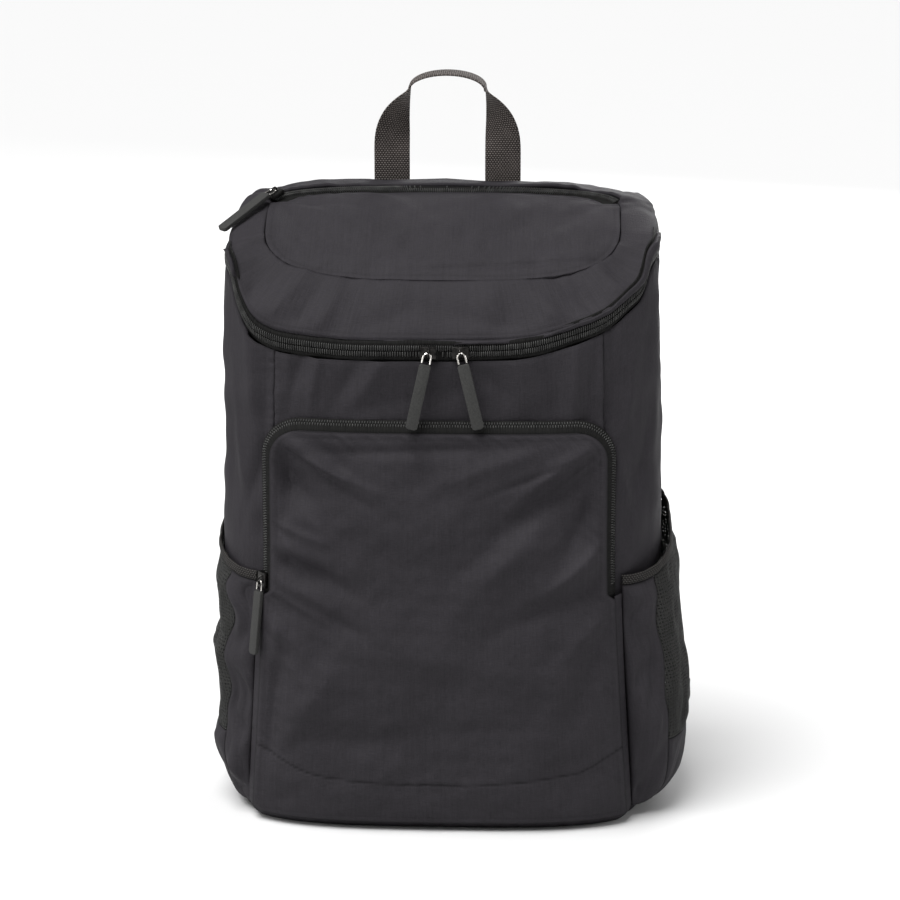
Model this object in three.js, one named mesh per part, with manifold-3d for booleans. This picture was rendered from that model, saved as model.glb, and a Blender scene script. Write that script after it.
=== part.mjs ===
// A cooler backpack: a padded, open-mouthed main compartment under a sloping lid that zips round its
// front and sides, with a zipped front pocket, a zipped lid pocket, two mesh side pockets, a webbing
// carry loop and two padded shoulder straps. Millimetres, +Z up, the front faces -Y, and the origin is
// on the floor under the middle of the whole bag.
import * as THREE from "three";
import { mergeVertices } from "three/addons/utils/BufferGeometryUtils.js";
import Module from "manifold-3d";

const { Vector3 } = THREE;
const { cos, sin, abs, sign, min, max, acos, exp, PI } = Math;
const wasm = await Module();
wasm.setup();

// Cloth and clearances
const paddedWall = 5;
const cloth = 1.3;
const tape = 1.2;
const webbing = 1.6;
const seamGap = 0.3;

// Main compartment
const bodyWidth = 302;
const bodyDepth = 153;
const backHeight = 420;
const basePad = 8;
const frontSquareness = 3.4;
const backSquareness = 6;
const frontSeamInset = 39;
const backSeamInset = 16;

// Lid
const lidRise = 10;
const lidPad = 4;
const lidShoulder = 0.3;
const lidShoulderSquareness = 2.4;
const lidCrossFall = 9;
const lidClimb = 0.75;
const lidBandSide = 27;
const lidBandFront = 27.5;
const lidBandBack = 34.5;

const lidPanelWidth = bodyWidth - 2 * lidBandSide;
const lidPanelFront = bodyDepth / 2 - lidBandFront;
const lidPanelBack = bodyDepth / 2 - lidBandBack;

// Zips: half the width of each opening, and the bead of teeth along its middle
const mainZipHalf = 7;
const lidZipHalf = 3.5;
const zipSunk = 1.2;
const teethHalf = 2.2;
const teethHeight = 1.8;
const mainZipEnd = 38;
const lidZipEnd = 12;
const zipTaper = 10;

// Front pocket
const pocketTopDrop = 129;
const pocketTop = backHeight - pocketTopDrop;
const pocketSideInset = 33;
const pocketFootInset = 22;
const pocketHalfWidth = bodyWidth / 2 - pocketSideInset;
const pocketFootHalfWidth = bodyWidth / 2 - pocketFootInset;
const pocketCorner = 27;
const pocketFootCorner = 14;
const pocketBottom = 5;
const pocketZipFoot = 168;
const pocketZipBand = 8;
const pocketDepth = 8;
const pocketBulge = 9;

// Side pockets
const sidePocketSetback = 5;
const sidePocketFront = 174;
const sidePocketBack = 206;
const sidePocketBottom = 9;
const sidePocketSeam = 58;
const sideMeshStart = 0.26;
const bindingHeight = 7;
const bindingThickness = 2.2;
const leftPocketBulge = 4;
const rightPocketBulge = 20;

// Carry loop
const webbingWidth = 25;
const loopInside = 53;
const loopRise = 82;
const loopTop = backHeight + loopRise;
const loopArch = 11;
const loopFlatRise = 24;
const loopTwistStart = backHeight + loopFlatRise;
const loopSewnDrop = 42;
const loopSewn = backHeight - loopSewnDrop;
const yokeSlack = 0.8;

// Shoulder straps
const yokeInset = 53;
const yokeWidth = bodyWidth - 2 * yokeInset;
const yokeDrop = 8;
const yokeHeight = 46;
const yokeTop = backHeight - yokeDrop;
const yokeBottom = yokeTop - yokeHeight;
const strapTopInset = 44;
const strapMiddleInset = 28;
const strapEndInset = 10;
const strapTopX = yokeWidth / 2 - strapTopInset;
const strapMiddleX = yokeWidth / 2 - strapMiddleInset;
const strapEndX = yokeWidth / 2 - strapEndInset;
const strapWidth = 62;
const strapPad = 10;
const strapEndPad = 4;
const strapLap = 8;
const strapEnd = 160;
const strapBow = 32;
const strapSwing = 0.375;
const strapStandOff = 6.7;
const strapTabInset = 51;
const strapTabX = bodyWidth / 2 - strapTabInset;
const strapRest = 1.2;
const strapTabTop = 52;
const strapTabBottom = 14;
const strapTabWidth = 40;
const buckleWidth = webbingWidth + 8;
const buckleBar = 4;
const buckleSlot = 10;
const buckleThickness = 3;
const buckleDrop = 34;

// Zip pulls
const pullMiddle = 4.25;
const pullSpread = 10.75;
const sliderLength = 11;
const sliderWidth = 8;
const sliderHeight = 3.6;
const bridgeRadius = 2.8;
const bridgeBar = 0.7;
const pullWire = 0.6;
const wireWidth = 5.4;
const wireLength = 7;
const pullLength = 44.5;
const pullWidth = 8;
const pullThickness = 3;
const pullChamfer = 1.2;

// Share of the half width and half depth of the compartment at each share of its height
const sections = [
  { up: 0, width: 0.93, front: 0.965, back: 0.975 },
  { up: 0.02, width: 0.96, front: 0.98, back: 0.99 },
  { up: 0.05, width: 0.982, front: 0.99, back: 1 },
  { up: 0.12, width: 0.998, front: 1, back: 1 },
  { up: 0.4, width: 1.004, front: 1.012, back: 1 },
  { up: 0.62, width: 0.996, front: 1.015, back: 1 },
  { up: 0.8, width: 0.985, front: 1.005, back: 1 },
  { up: 1, width: 0.975, front: 0.98, back: 0.99 },
];

// Height of the zip line as a share of the back height, by the degrees round from the front's middle.
// The lid's left front corner sags further than its right one.
const zipLine = [
  { round: 0, right: 0.805, left: 0.805 },
  { round: 12, right: 0.811, left: 0.805 },
  { round: 24, right: 0.829, left: 0.809 },
  { round: 38, right: 0.85, left: 0.816 },
  { round: 50, right: 0.877, left: 0.834 },
  { round: 60, right: 0.898, left: 0.872 },
  { round: 68, right: 0.937, left: 0.915 },
  { round: 80, right: 0.949, left: 0.928 },
  { round: 92, right: 0.953, left: 0.935 },
  { round: 120, right: 0.975, left: 0.968 },
  { round: 145, right: 0.99, left: 0.988 },
  { round: 180, right: 0.998, left: 0.998 },
];

// Fullness of the front pocket as a share of its bulge, by the share of its height
const pocketFullness = [
  { up: 0, out: 0.3 },
  { up: 0.12, out: 0.75 },
  { up: 0.4, out: 1 },
  { up: 0.7, out: 0.85 },
  { up: 0.9, out: 0.35 },
  { up: 1, out: 0 },
];

// Folds of the front pocket: the middle as shares of the pocket's half width and top, the height of
// the ridge (or depth of the dent) as a share of the bulge, and the spread each way
const pocketFolds = [
  { across: -0.75, up: 0.859, out: -0.5, wide: 0.19, tall: 0.089 },
  { across: -0.56, up: 0.942, out: -0.28, wide: 0.22, tall: 0.034 },
  { across: -0.78, up: 0.68, out: 0.28, wide: 0.15, tall: 0.048 },
  { across: 0.73, up: 0.845, out: -0.44, wide: 0.19, tall: 0.082 },
  { across: 0.76, up: 0.921, out: 0.22, wide: 0.17, tall: 0.031 },
  { across: 0.08, up: 0.9, out: -0.17, wide: 0.34, tall: 0.041 },
  { across: -0.17, up: 0.206, out: -0.17, wide: 0.59, tall: 0.048 },
];

// How far the side pockets stand out, as a share of their bulge, by the share of their height
const pocketBag = [
  { up: 0, out: 0.35 },
  { up: 0.1, out: 0.85 },
  { up: 0.28, out: 1 },
  { up: 0.5, out: 0.95 },
  { up: 0.75, out: 0.62 },
  { up: 1, out: 0.3 },
];

// The smooth curve through a table's rows: `column` where `key` is `at`.
function along(rows, key, column, at) {
  const last = rows.length - 1;
  const place = min(max(at, rows[0][key]), rows[last][key]);
  let i = 0;
  while (i < last - 1 && place > rows[i + 1][key]) i++;
  const slope = (k) => {
    const a = rows[max(k - 1, 0)];
    const b = rows[min(k + 1, last)];
    return (b[column] - a[column]) / (b[key] - a[key]);
  };
  const span = rows[i + 1][key] - rows[i][key];
  const t = (place - rows[i][key]) / span;
  const bend = t * t * (3 - 2 * t);
  const lead = t * (1 - t) * (1 - t) * span * slope(i);
  const trail = t * t * (t - 1) * span * slope(i + 1);
  return rows[i][column] * (1 - bend) + rows[i + 1][column] * bend + lead + trail;
}

const mix = (a, b, t) => a + (b - a) * t;
const ease = (from, to, at) => {
  const t = min(max((at - from) / (to - from), 0), 1);
  return t * t * (3 - 2 * t);
};
const degrees = (angle) => (angle * PI) / 180;
const power = (value, exponent) => sign(value) * abs(value) ** exponent;
const steps = (count, from = 0, to = 1) => Array.from({ length: count + 1 }, (_, i) => mix(from, to, i / count));

// The outer skin of the compartment at an angle (0 right, 90 back, 180 left, -90 front) and a height.
// Its plan is a squared ellipse, squarer at the back than at the front.
const squareness = (angle) => (sin(angle) < 0 ? frontSquareness : backSquareness);
const halfWidthAt = (height) => (bodyWidth / 2) * along(sections, "up", "width", height / backHeight);
const halfDepthAt = (angle, height) =>
  (bodyDepth / 2) * along(sections, "up", sin(angle) < 0 ? "front" : "back", height / backHeight);

function skin(angle, height, out = 0) {
  const n = squareness(angle);
  const a = halfWidthAt(height);
  const b = halfDepthAt(angle, height);
  const x = power(cos(angle), 2 / n);
  const y = power(sin(angle), 2 / n);
  const normal = new Vector3(power(x, n - 1) / a, power(y, n - 1) / b, 0).normalize();
  return new Vector3(a * x, b * y, height).addScaledVector(normal, out);
}

// The angle at which the front (or the back) of the skin has this x at this height.
function angleAt(x, { atBack = false, height = backHeight / 2 } = {}) {
  const n = atBack ? backSquareness : frontSquareness;
  const turn = acos(power(x / halfWidthAt(height), n / 2));
  return atBack ? turn : -turn;
}
const front = (x, height, out) => skin(angleAt(x, { height }), height, out);
const back = (x, height, out) => skin(angleAt(x, { atBack: true, height }), height, out);

const frontSeam = bodyWidth / 2 - frontSeamInset;
const backSeam = bodyWidth / 2 - backSeamInset;

// Every ring of the bag has its corners at the same angles, so that neighbours meet along their edges.
const seamAngles = [-frontSeam, frontSeam].map((x) => angleAt(x));
seamAngles.push(...[-backSeam, backSeam].map((x) => angleAt(x, { atBack: true })));
const lattice = steps(96, -2 * PI, 2 * PI);
const mainZipStop = degrees(mainZipEnd + zipTaper * 0.4);
const lidZipStop = degrees(lidZipEnd + zipTaper * 0.8);
const stops = [mainZipStop, PI - mainZipStop, lidZipStop, PI - lidZipStop];
for (const turn of [-2 * PI, 0, 2 * PI]) lattice.push(...[...seamAngles, ...stops].map((angle) => angle + turn));
lattice.sort((a, b) => a - b);
const between = (from, to) => [from, ...lattice.filter((a) => a > from + 0.02 && a < to - 0.02), to];

function zipHeight(angle) {
  const turned = (angle * 180) / PI + 90;
  const fromFront = abs(turned - 360 * Math.round(turned / 360));
  return backHeight * along(zipLine, "round", cos(angle) > 0 ? "right" : "left", fromFront);
}

// Half the height of the main zip's band, which closes to a plain seam across the back.
const zipOpen = (angle) => 1 - ease(sin(degrees(mainZipEnd)), sin(degrees(mainZipEnd + zipTaper)), sin(angle));
const zipHalf = (angle) => mix(seamGap / 2, mainZipHalf, zipOpen(angle));

// A surface over the given values across (u) and up (v), as points and triangles. A closed one joins
// its last column to its first, and a pole gathers its last row in one point.
function grid(surface, us, vs, { closed = false, pole = false } = {}) {
  const wide = us.length;
  const columns = closed ? wide : wide - 1;
  const rows = vs.length - 1;
  const full = pole ? rows - 1 : rows;
  const points = [];
  const faces = [];
  for (let j = 0; j <= full; j++) for (const u of us) points.push(surface(u, vs[j]));
  const at = (i, j) => j * wide + (i % wide);
  for (let j = 0; j < full; j++)
    for (let i = 0; i < columns; i++) {
      faces.push(at(i, j), at(i + 1, j), at(i + 1, j + 1));
      faces.push(at(i, j), at(i + 1, j + 1), at(i, j + 1));
    }
  if (pole) {
    points.push(surface(us[0], vs[rows]));
    for (let i = 0; i < columns; i++) faces.push(at(i, full), at(i + 1, full), points.length - 1);
  }
  return { points, faces };
}

// A sheet with that surface as its outer face. Its inner face is `surface(u, v, thickness)` where the
// surface takes a depth, and lies along the normals where it doesn't. A wall joins the free edges.
function sheet(surface, us, vs, thickness, options) {
  const { points, faces } = grid((u, v) => surface(u, v, 0), us, vs, options);
  const outer = new THREE.BufferGeometry().setFromPoints(points);
  outer.setIndex(faces);
  outer.computeVertexNormals();
  const normal = (i) => new Vector3().fromBufferAttribute(outer.getAttribute("normal"), i);
  const inner =
    surface.length > 2
      ? grid((u, v) => surface(u, v, thickness), us, vs, options).points
      : points.map((p, i) => p.clone().addScaledVector(normal(i), -thickness));
  const count = points.length;
  const all = [...faces];
  const edges = new Set();
  for (let i = 0; i < faces.length; i += 3) {
    const [a, b, c] = faces.slice(i, i + 3);
    all.push(a + count, c + count, b + count);
    for (const [from, to] of [[a, b], [b, c], [c, a]]) edges.add(`${from},${to}`);
  }
  for (const edge of edges) {
    const [a, b] = edge.split(",").map(Number);
    if (!edges.has(`${b},${a}`)) all.push(b, a, a + count, b, a + count, b + count);
  }
  return new THREE.BufferGeometry().setFromPoints([...points, ...inner]).setIndex(all);
}

// A closed solid through rings of points, capped flat at both ends.
function loft(rings) {
  const n = rings[0].length;
  const points = rings.flat();
  const faces = [];
  for (let j = 0; j + 1 < rings.length; j++)
    for (let i = 0; i < n; i++) {
      const next = (i + 1) % n;
      faces.push(j * n + i, j * n + next, (j + 1) * n + next);
      faces.push(j * n + i, (j + 1) * n + next, (j + 1) * n + i);
    }
  const centre = (ring) => ring.reduce((sum, p) => sum.add(p), new Vector3()).divideScalar(n);
  const top = (rings.length - 1) * n;
  points.push(centre(rings[0]), centre(rings.at(-1)));
  for (let i = 0; i < n; i++) {
    const next = (i + 1) % n;
    faces.push(next, i, points.length - 2);
    faces.push(top + i, top + next, points.length - 1);
  }
  return new THREE.BufferGeometry().setFromPoints(points).setIndex(faces);
}

// A loft along a path: each ring is an oval of that width and thickness, squared by `square`.
function strand(middle, frame, size, { rings = 16, corners = 10, square = 2 } = {}) {
  const ring = (t) => {
    const { across, off } = frame(t);
    const [width, thickness] = size(t);
    return Array.from({ length: corners }, (_, i) => {
      const angle = (i / corners) * 2 * PI;
      return middle(t)
        .addScaledVector(across, (power(cos(angle), 2 / square) * width) / 2)
        .addScaledVector(off, (power(sin(angle), 2 / square) * thickness) / 2);
    });
  };
  return loft(steps(rings).map(ring));
}

const tangent = (middle, t) => {
  const step = 1e-3;
  return middle(min(t + step, 1)).sub(middle(max(t - step, 0))).normalize();
};

// A flat band of webbing along a path; `across(t)` is the way that its width runs.
function band(middle, across, width, thickness, count) {
  const surface = (u, v, depth) => {
    const off = across(v).cross(tangent(middle, v)).normalize();
    return middle(v).addScaledVector(across(v), (u - 0.5) * width).addScaledVector(off, thickness / 2 - depth);
  };
  return sheet(surface, steps(2), steps(count), thickness);
}

// Joins closed geometries into one solid.
function joined(...geometries) {
  const solids = geometries.map((geometry) => {
    const bare = geometry.clone();
    bare.deleteAttribute("normal");
    bare.deleteAttribute("uv");
    const merged = mergeVertices(bare, 1e-4);
    return new wasm.Manifold(
      new wasm.Mesh({
        numProp: 3,
        vertProperties: merged.getAttribute("position").array,
        triVerts: new Uint32Array(merged.index.array),
      }),
    );
  });
  const mesh = solids.reduce((whole, next) => whole.add(next)).getMesh();
  const made = new THREE.BufferGeometry();
  made.setAttribute("position", new THREE.BufferAttribute(mesh.vertProperties, 3));
  made.setIndex(new THREE.BufferAttribute(mesh.triVerts, 1));
  return made;
}

// Finishes
const finish = (color, roughness, metalness = 0) => new THREE.MeshStandardMaterial({ color, roughness, metalness });
const polyester = finish(0x39373a, 0.78);
const padMesh = finish(0x2a2a2b, 0.92);
const zipCloth = finish(0x2b2b2a, 0.85);
const zipCoil = finish(0x343433, 0.5);
const strapCloth = finish(0x35322f, 0.85);
const netCloth = finish(0x252525, 0.9);
const darkMetal = finish(0x55534f, 0.35, 1);
const brightWire = finish(0xb9b6b0, 0.25, 1);
const pullRubber = finish(0x484848, 0.6);
const hardPlastic = finish(0x1f1f20, 0.45);

const bag = new THREE.Group();
function place(name, geometry, material, parent = bag) {
  const mesh = new THREE.Mesh(geometry, material);
  mesh.name = name;
  parent.add(mesh);
  return mesh;
}

// Walls of the main compartment: four padded panels stand on the base, with a seam between each two
function wall(name, from, to, material = polyester) {
  const surface = (angle, v, depth) => {
    const top = zipHeight(angle) - zipHalf(angle);
    return skin(angle, mix(basePad + seamGap, top, v), -depth);
  };
  place(name, sheet(surface, between(from, to), steps(7), paddedWall), material);
}

function walls() {
  const gap = seamGap / 2;
  const behind = { atBack: true };
  wall("front_panel", angleAt(-frontSeam + gap), angleAt(frontSeam - gap));
  wall("side_panel_right", angleAt(frontSeam + gap), angleAt(backSeam + gap, behind));
  wall("back_panel", angleAt(backSeam - gap, behind), angleAt(-backSeam + gap, behind), padMesh);
  wall("side_panel_left", angleAt(-backSeam - gap, behind), 2 * PI + angleAt(-frontSeam - gap));
}

function base() {
  const angles = between(0, 2 * PI).slice(0, -1);
  const ring = (height, share) => angles.map((angle) => skin(angle, height).multiply(new Vector3(share, share, 1)));
  const rings = [ring(0, 0.975), ring(basePad * 0.35, 0.985), ring(basePad, 0.994)];
  place("base_panel", loft(rings), polyester);
}

// The lid is a height over the plan: it climbs from the zip line at its edge to a crown that rises
// from front to back, over a rounded shoulder.
function crown(x, y) {
  const low = zipHeight(-PI / 2) + mainZipHalf;
  const t = min(max(y / bodyDepth + 0.5, 0), 1);
  const fall = lidCrossFall * t * abs(x / (bodyWidth / 2)) ** 3;
  return low + (backHeight + lidRise - low) * sin((PI / 2) * t ** lidClimb) - fall;
}

// inward: 0 at the zip line, 0.5 on the seam of the lid's middle panel and 1 at the lid's middle
function lidPoint(angle, inward) {
  const edge = zipHeight(angle) + zipHalf(angle);
  const rim = skin(angle, min(edge, backHeight));
  const n = squareness(angle);
  const toSeam = min(inward * 2, 1);
  const toMiddle = max(inward * 2 - 1, 0);
  const panelDepth = (sin(angle) < 0 ? lidPanelFront : lidPanelBack) / (bodyDepth / 2);
  const shareX = mix(1, lidPanelWidth / bodyWidth, toSeam) * (1 - toMiddle);
  const shareY = mix(1, panelDepth, toSeam) * (1 - toMiddle);
  const acrossTerm = (shareX * abs(power(cos(angle), 2 / n))) ** n;
  const deepTerm = (shareY * abs(power(sin(angle), 2 / n))) ** n;
  const reach = (acrossTerm + deepTerm) ** (1 / n);
  const steep = max(reach - (1 - lidShoulder), 0) / lidShoulder;
  const climb = max(1 - steep ** lidShoulderSquareness, 0) ** (1 / lidShoulderSquareness);
  const x = rim.x * shareX;
  const y = rim.y * shareY;
  return new Vector3(x, y, mix(edge, crown(x, y), climb));
}

function lidNormal(angle, inward) {
  if (inward > 0.97) return new Vector3(0, 0, 1);
  const step = 0.004;
  const round = lidPoint(angle + step, inward).sub(lidPoint(angle - step, inward));
  const up = lidPoint(angle, inward + step).sub(lidPoint(angle, max(inward - step, 0)));
  const flat = skin(angle, backHeight, 1).sub(skin(angle, backHeight));
  return flat.lerp(round.cross(up).normalize(), ease(0, 0.12, inward)).normalize();
}
const lid = (angle, inward, out) => lidPoint(angle, inward).addScaledVector(lidNormal(angle, inward), out);

// The lid's seam is a plain gap round the front and sides, and a zip's width across the back.
const lidZipOpen = (angle) => ease(sin(degrees(lidZipEnd)), sin(degrees(lidZipEnd + zipTaper)), sin(angle));
const lidSeamHalf = (angle) => mix(seamGap / 2, lidZipHalf, lidZipOpen(angle));
const lidBesideSeam = (angle, off) => 0.5 + (off < 0 ? off / (bodyDepth - 2 * lidPanelBack) : off / (2 * lidPanelBack));

function lidPanels() {
  const round = between(0, 2 * PI).slice(0, -1);
  const rim = (angle, v, depth) => {
    const bunched = 1 - cos((v * PI) / 2);
    return lid(angle, bunched * lidBesideSeam(angle, -lidSeamHalf(angle)), -depth);
  };
  place("lid_band", sheet(rim, round, steps(5), lidPad, { closed: true }), polyester);
  const middle = (angle, v, depth) => lid(angle, mix(lidBesideSeam(angle, lidSeamHalf(angle)), 1, v), -depth);
  place("lid_pocket_panel", sheet(middle, round, steps(3), lidPad, { closed: true, pole: true }), polyester);
}

// A zip is two tapes with a hair's gap between them and a bead of teeth over the gap.
// beside(angle, share, out) is a point on it: share runs from -1 to 1 across the opening.
function zip(name, beside, half, angles) {
  const strip = (part, low, high, out, thickness, material) => {
    const surface = (angle, v, depth) => beside(angle, mix(low, high, v), out - depth);
    place(`${name}_${part}`, sheet(surface, angles, steps(1), thickness), material);
  };
  const edge = 1 - (2 * seamGap) / half;
  const hair = seamGap / 2 / half;
  strip("tape_lower", -edge, -hair, -zipSunk, tape, zipCloth);
  strip("tape_upper", hair, edge, -zipSunk, tape, zipCloth);
  strip("teeth", -teethHalf / half, teethHalf / half, -zipSunk + seamGap + teethHeight, teethHeight, zipCoil);
}

const mainZipPoint = (angle, share, out) => skin(angle, zipHeight(angle) + share * zipHalf(angle), out);
const lidZipPoint = (angle, share, out) => lid(angle, lidBesideSeam(angle, share * lidSeamHalf(angle)), out);

function zips() {
  zip("main_zip", mainZipPoint, mainZipHalf, between(-PI - mainZipStop, mainZipStop));
  zip("lid_zip", lidZipPoint, lidZipHalf, between(lidZipStop, PI - lidZipStop));
}

// Front pocket: an arch of zip round its top and sides, a gusset round its foot, and its face
const pocketHalfAt = (height) =>
  mix(pocketFootHalfWidth, pocketHalfWidth, ease(pocketBottom - 0.35 * pocketZipFoot, 1.25 * pocketZipFoot, height));

// The zip's path from the left foot (0) over the top to the right foot (1), that far in from the edge
const archLeg = pocketTop - pocketCorner - pocketZipFoot;
const archBend = (PI / 2) * pocketCorner;
const archTop = 2 * (pocketHalfWidth - pocketCorner);
const archLength = 2 * archLeg + 2 * archBend + archTop;
function arch(s, inset) {
  const run = min(s, 1 - s) * archLength;
  const side = s < 0.5 ? -1 : 1;
  if (run < archLeg) {
    const height = pocketZipFoot + run;
    return [side * (pocketHalfAt(height) - inset), height];
  }
  const radius = pocketCorner - inset;
  const turn = min((run - archLeg) / pocketCorner, PI / 2);
  const spring = pocketTop - pocketCorner;
  const half = pocketHalfAt(spring) - pocketCorner;
  if (run < archLeg + archBend) return [side * (half + radius * cos(turn)), spring + radius * sin(turn)];
  const share = (run - archLeg - archBend) / (archTop / 2);
  return [side * half * (1 - share), pocketTop - inset];
}
const archSteps = () => {
  const legs = [0, 0.33, 0.66].map((t) => (t * archLeg) / archLength);
  const bend = steps(5, archLeg, archLeg + archBend).map((run) => run / archLength);
  const top = steps(4, archLeg + archBend, archLength / 2).map((run) => run / archLength);
  const half = [...legs, ...bend, ...top.slice(1)];
  return [...half, ...half.slice(0, -1).reverse().map((s) => 1 - s)];
};

// The gusset's path from the right foot of the zip round the bottom to its left foot
const skirtLeg = pocketZipFoot - seamGap - pocketBottom - pocketFootCorner;
const skirtBend = (PI / 2) * pocketFootCorner;
const skirtLength = 2 * (skirtLeg + skirtBend + pocketFootHalfWidth - pocketFootCorner);
function skirt(s, inset) {
  const run = min(s, 1 - s) * skirtLength;
  const side = s < 0.5 ? 1 : -1;
  if (run < skirtLeg) {
    const height = pocketZipFoot - seamGap - run;
    return [side * (pocketHalfAt(height) - inset), height];
  }
  const spring = pocketBottom + pocketFootCorner;
  const half = pocketHalfAt(spring) - pocketFootCorner;
  const turn = min((run - skirtLeg) / pocketFootCorner, PI / 2);
  const radius = pocketFootCorner - inset;
  if (run < skirtLeg + skirtBend) return [side * (half + radius * cos(turn)), spring - radius * sin(turn)];
  const share = (run - skirtLeg - skirtBend) / (skirtLength / 2 - skirtLeg - skirtBend);
  return [side * half * (1 - share), pocketBottom + inset];
}
const skirtSteps = () => {
  const legs = [0, 0.25, 0.5, 0.75].map((t) => (t * skirtLeg) / skirtLength);
  const bend = steps(4, skirtLeg, skirtLeg + skirtBend).map((run) => run / skirtLength);
  const bottom = steps(4, skirtLeg + skirtBend, skirtLength / 2).map((run) => run / skirtLength);
  const half = [...legs, ...bend, ...bottom.slice(1)];
  return [...half, ...half.slice(0, -1).reverse().map((s) => 1 - s)];
};

// How far the pocket's face stands off the skin
function pocketOut(x, height) {
  const up = (height - pocketBottom) / (pocketTop - pocketBottom);
  const across = max(1 - (x / pocketHalfAt(height)) ** 2, 0);
  const clear = ease(0, 1, min(across / 0.35, (1 - up) / 0.12));
  const fold = pocketFolds.reduce((sum, row) => {
    const acrossReach = (x / pocketHalfWidth - row.across) / row.wide;
    const upReach = (height / pocketTop - row.up) / row.tall;
    return sum + row.out * pocketBulge * exp(-(acrossReach ** 2) - upReach ** 2);
  }, 0);
  return pocketDepth + across ** 0.6 * pocketBulge * along(pocketFullness, "up", "out", up) + fold * clear;
}

// A row of the pocket's face: its height and half width, that far in from the pocket's edge
function faceRow(v, inset) {
  const turnLow = (PI / 2) * min(v / 0.14, 1);
  const turnHigh = (PI / 2) * max((v - 0.8) / 0.2, 0);
  const low = pocketBottom + pocketFootCorner;
  const high = pocketTop - pocketCorner;
  const height =
    v < 0.14
      ? low - (pocketFootCorner - inset) * cos(turnLow)
      : v > 0.8
        ? high + (pocketCorner - inset) * sin(turnHigh)
        : mix(low, high, (v - 0.14) / 0.66);
  const rounding =
    v < 0.14
      ? (pocketFootCorner - inset) * (1 - sin(turnLow))
      : v > 0.8
        ? (pocketCorner - inset) * (1 - cos(turnHigh))
        : 0;
  return { height, half: pocketHalfAt(min(max(height, low), high)) - inset - rounding };
}

const tapeUnder = cloth + seamGap;
const archPoint = (s, v, out) => {
  const [x, height] = arch(s, mix(pocketZipBand, 0, v));
  return front(x, height, mix(pocketDepth - tapeUnder, tape + seamGap, v ** 1.5) + out);
};

function frontPocket() {
  place("front_zip_tape", sheet((s, v) => archPoint(s, v, 0), archSteps(), [0, 0.5, 1], tape), zipCloth);
  const bead = (s, v, depth) => archPoint(s, mix(0.5, 0.95, v), teethHeight + seamGap - depth);
  place("front_zip_teeth", sheet(bead, archSteps().slice(1, -1), steps(1), teethHeight), zipCoil);
  const gusset = (s, v) => {
    const [x, height] = skirt(s, mix(pocketZipBand, 0, v));
    return front(x, height, mix(pocketDepth - tapeUnder, cloth + seamGap, v));
  };
  place("front_pocket_gusset", sheet(gusset, skirtSteps(), [0, 0.5, 1], cloth), polyester);
  const face = (u, v) => {
    const { height, half } = faceRow(v, pocketZipBand - 1);
    const x = half * u;
    return front(x, height, pocketOut(x, height));
  };
  const rows = [...steps(3, 0, 0.14), ...steps(9, 0.14, 0.8).slice(1), ...steps(4, 0.8, 1).slice(1)];
  place("front_pocket_panel", sheet(face, steps(16, -1, 1), rows, cloth), polyester);
}

// Side pockets: side is -1 (left) or 1 (right). a runs from the front edge (0) to the back edge (1).
function sidePocket(side, name, bulge) {
  const frontEdge = (height) => angleAt(pocketHalfAt(height) + sidePocketSetback, { height });
  const backEdge = degrees(46);
  const turned = (angle) => (side > 0 ? angle : PI - angle);
  const top = (a) => mix(sidePocketFront, sidePocketBack, ease(0, 1, a));
  const out = (a, up) => bulge * sin(PI * min(max(a, 0), 1)) ** 0.5 * along(pocketBag, "up", "out", up);
  const point = (a, up, extra) => {
    const height = mix(sidePocketBottom, top(a), up);
    const angle = turned(mix(frontEdge(height), backEdge, a));
    return skin(angle, height, cloth + seamGap + out(a, min(up, 1)) + extra);
  };
  const outward = side > 0 ? (list) => list : (list) => [...list].reverse();
  const seam = (a) => (sidePocketSeam - sidePocketBottom) / (top(a) - sidePocketBottom);
  const gapUp = seamGap / (sidePocketFront - sidePocketBottom);
  const cut = (from, to, count) => outward(steps(count, from, to));
  const panel = (part, as, low, high, vs, material) => {
    const surface = (a, v, depth) => point(a, mix(low(a), high(a), v), -depth);
    place(`side_pocket_${part}_${name}`, sheet(surface, as, vs, cloth), material);
  };
  const frontRows = [...steps(4, 0, seam(sideMeshStart)), ...steps(5, seam(sideMeshStart), 1).slice(1)];
  const gapAcross = (2 * seamGap) / (bodyDepth + 2 * backSeamInset);
  const zero = () => 0;
  const full = () => 1 - gapUp;
  panel("front", cut(0, sideMeshStart, 4), zero, full, frontRows, polyester);
  panel("foot", cut(sideMeshStart + gapAcross, 1, 9), zero, (a) => seam(a) - gapUp, steps(4), polyester);
  panel("mesh", cut(sideMeshStart + gapAcross, 1, 9), seam, full, steps(5), netCloth);
  const binding = (a, v, depth) => {
    const height = top(a) + v * bindingHeight;
    const angle = turned(mix(frontEdge(height), backEdge, a));
    return skin(angle, height, cloth + seamGap + out(a, 1) + (bindingThickness - cloth) - depth);
  };
  place(`side_pocket_binding_${name}`, sheet(binding, outward([...steps(4, 0, sideMeshStart), ...steps(9, sideMeshStart, 1).slice(1)]), steps(1), bindingThickness), strapCloth);
}

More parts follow.
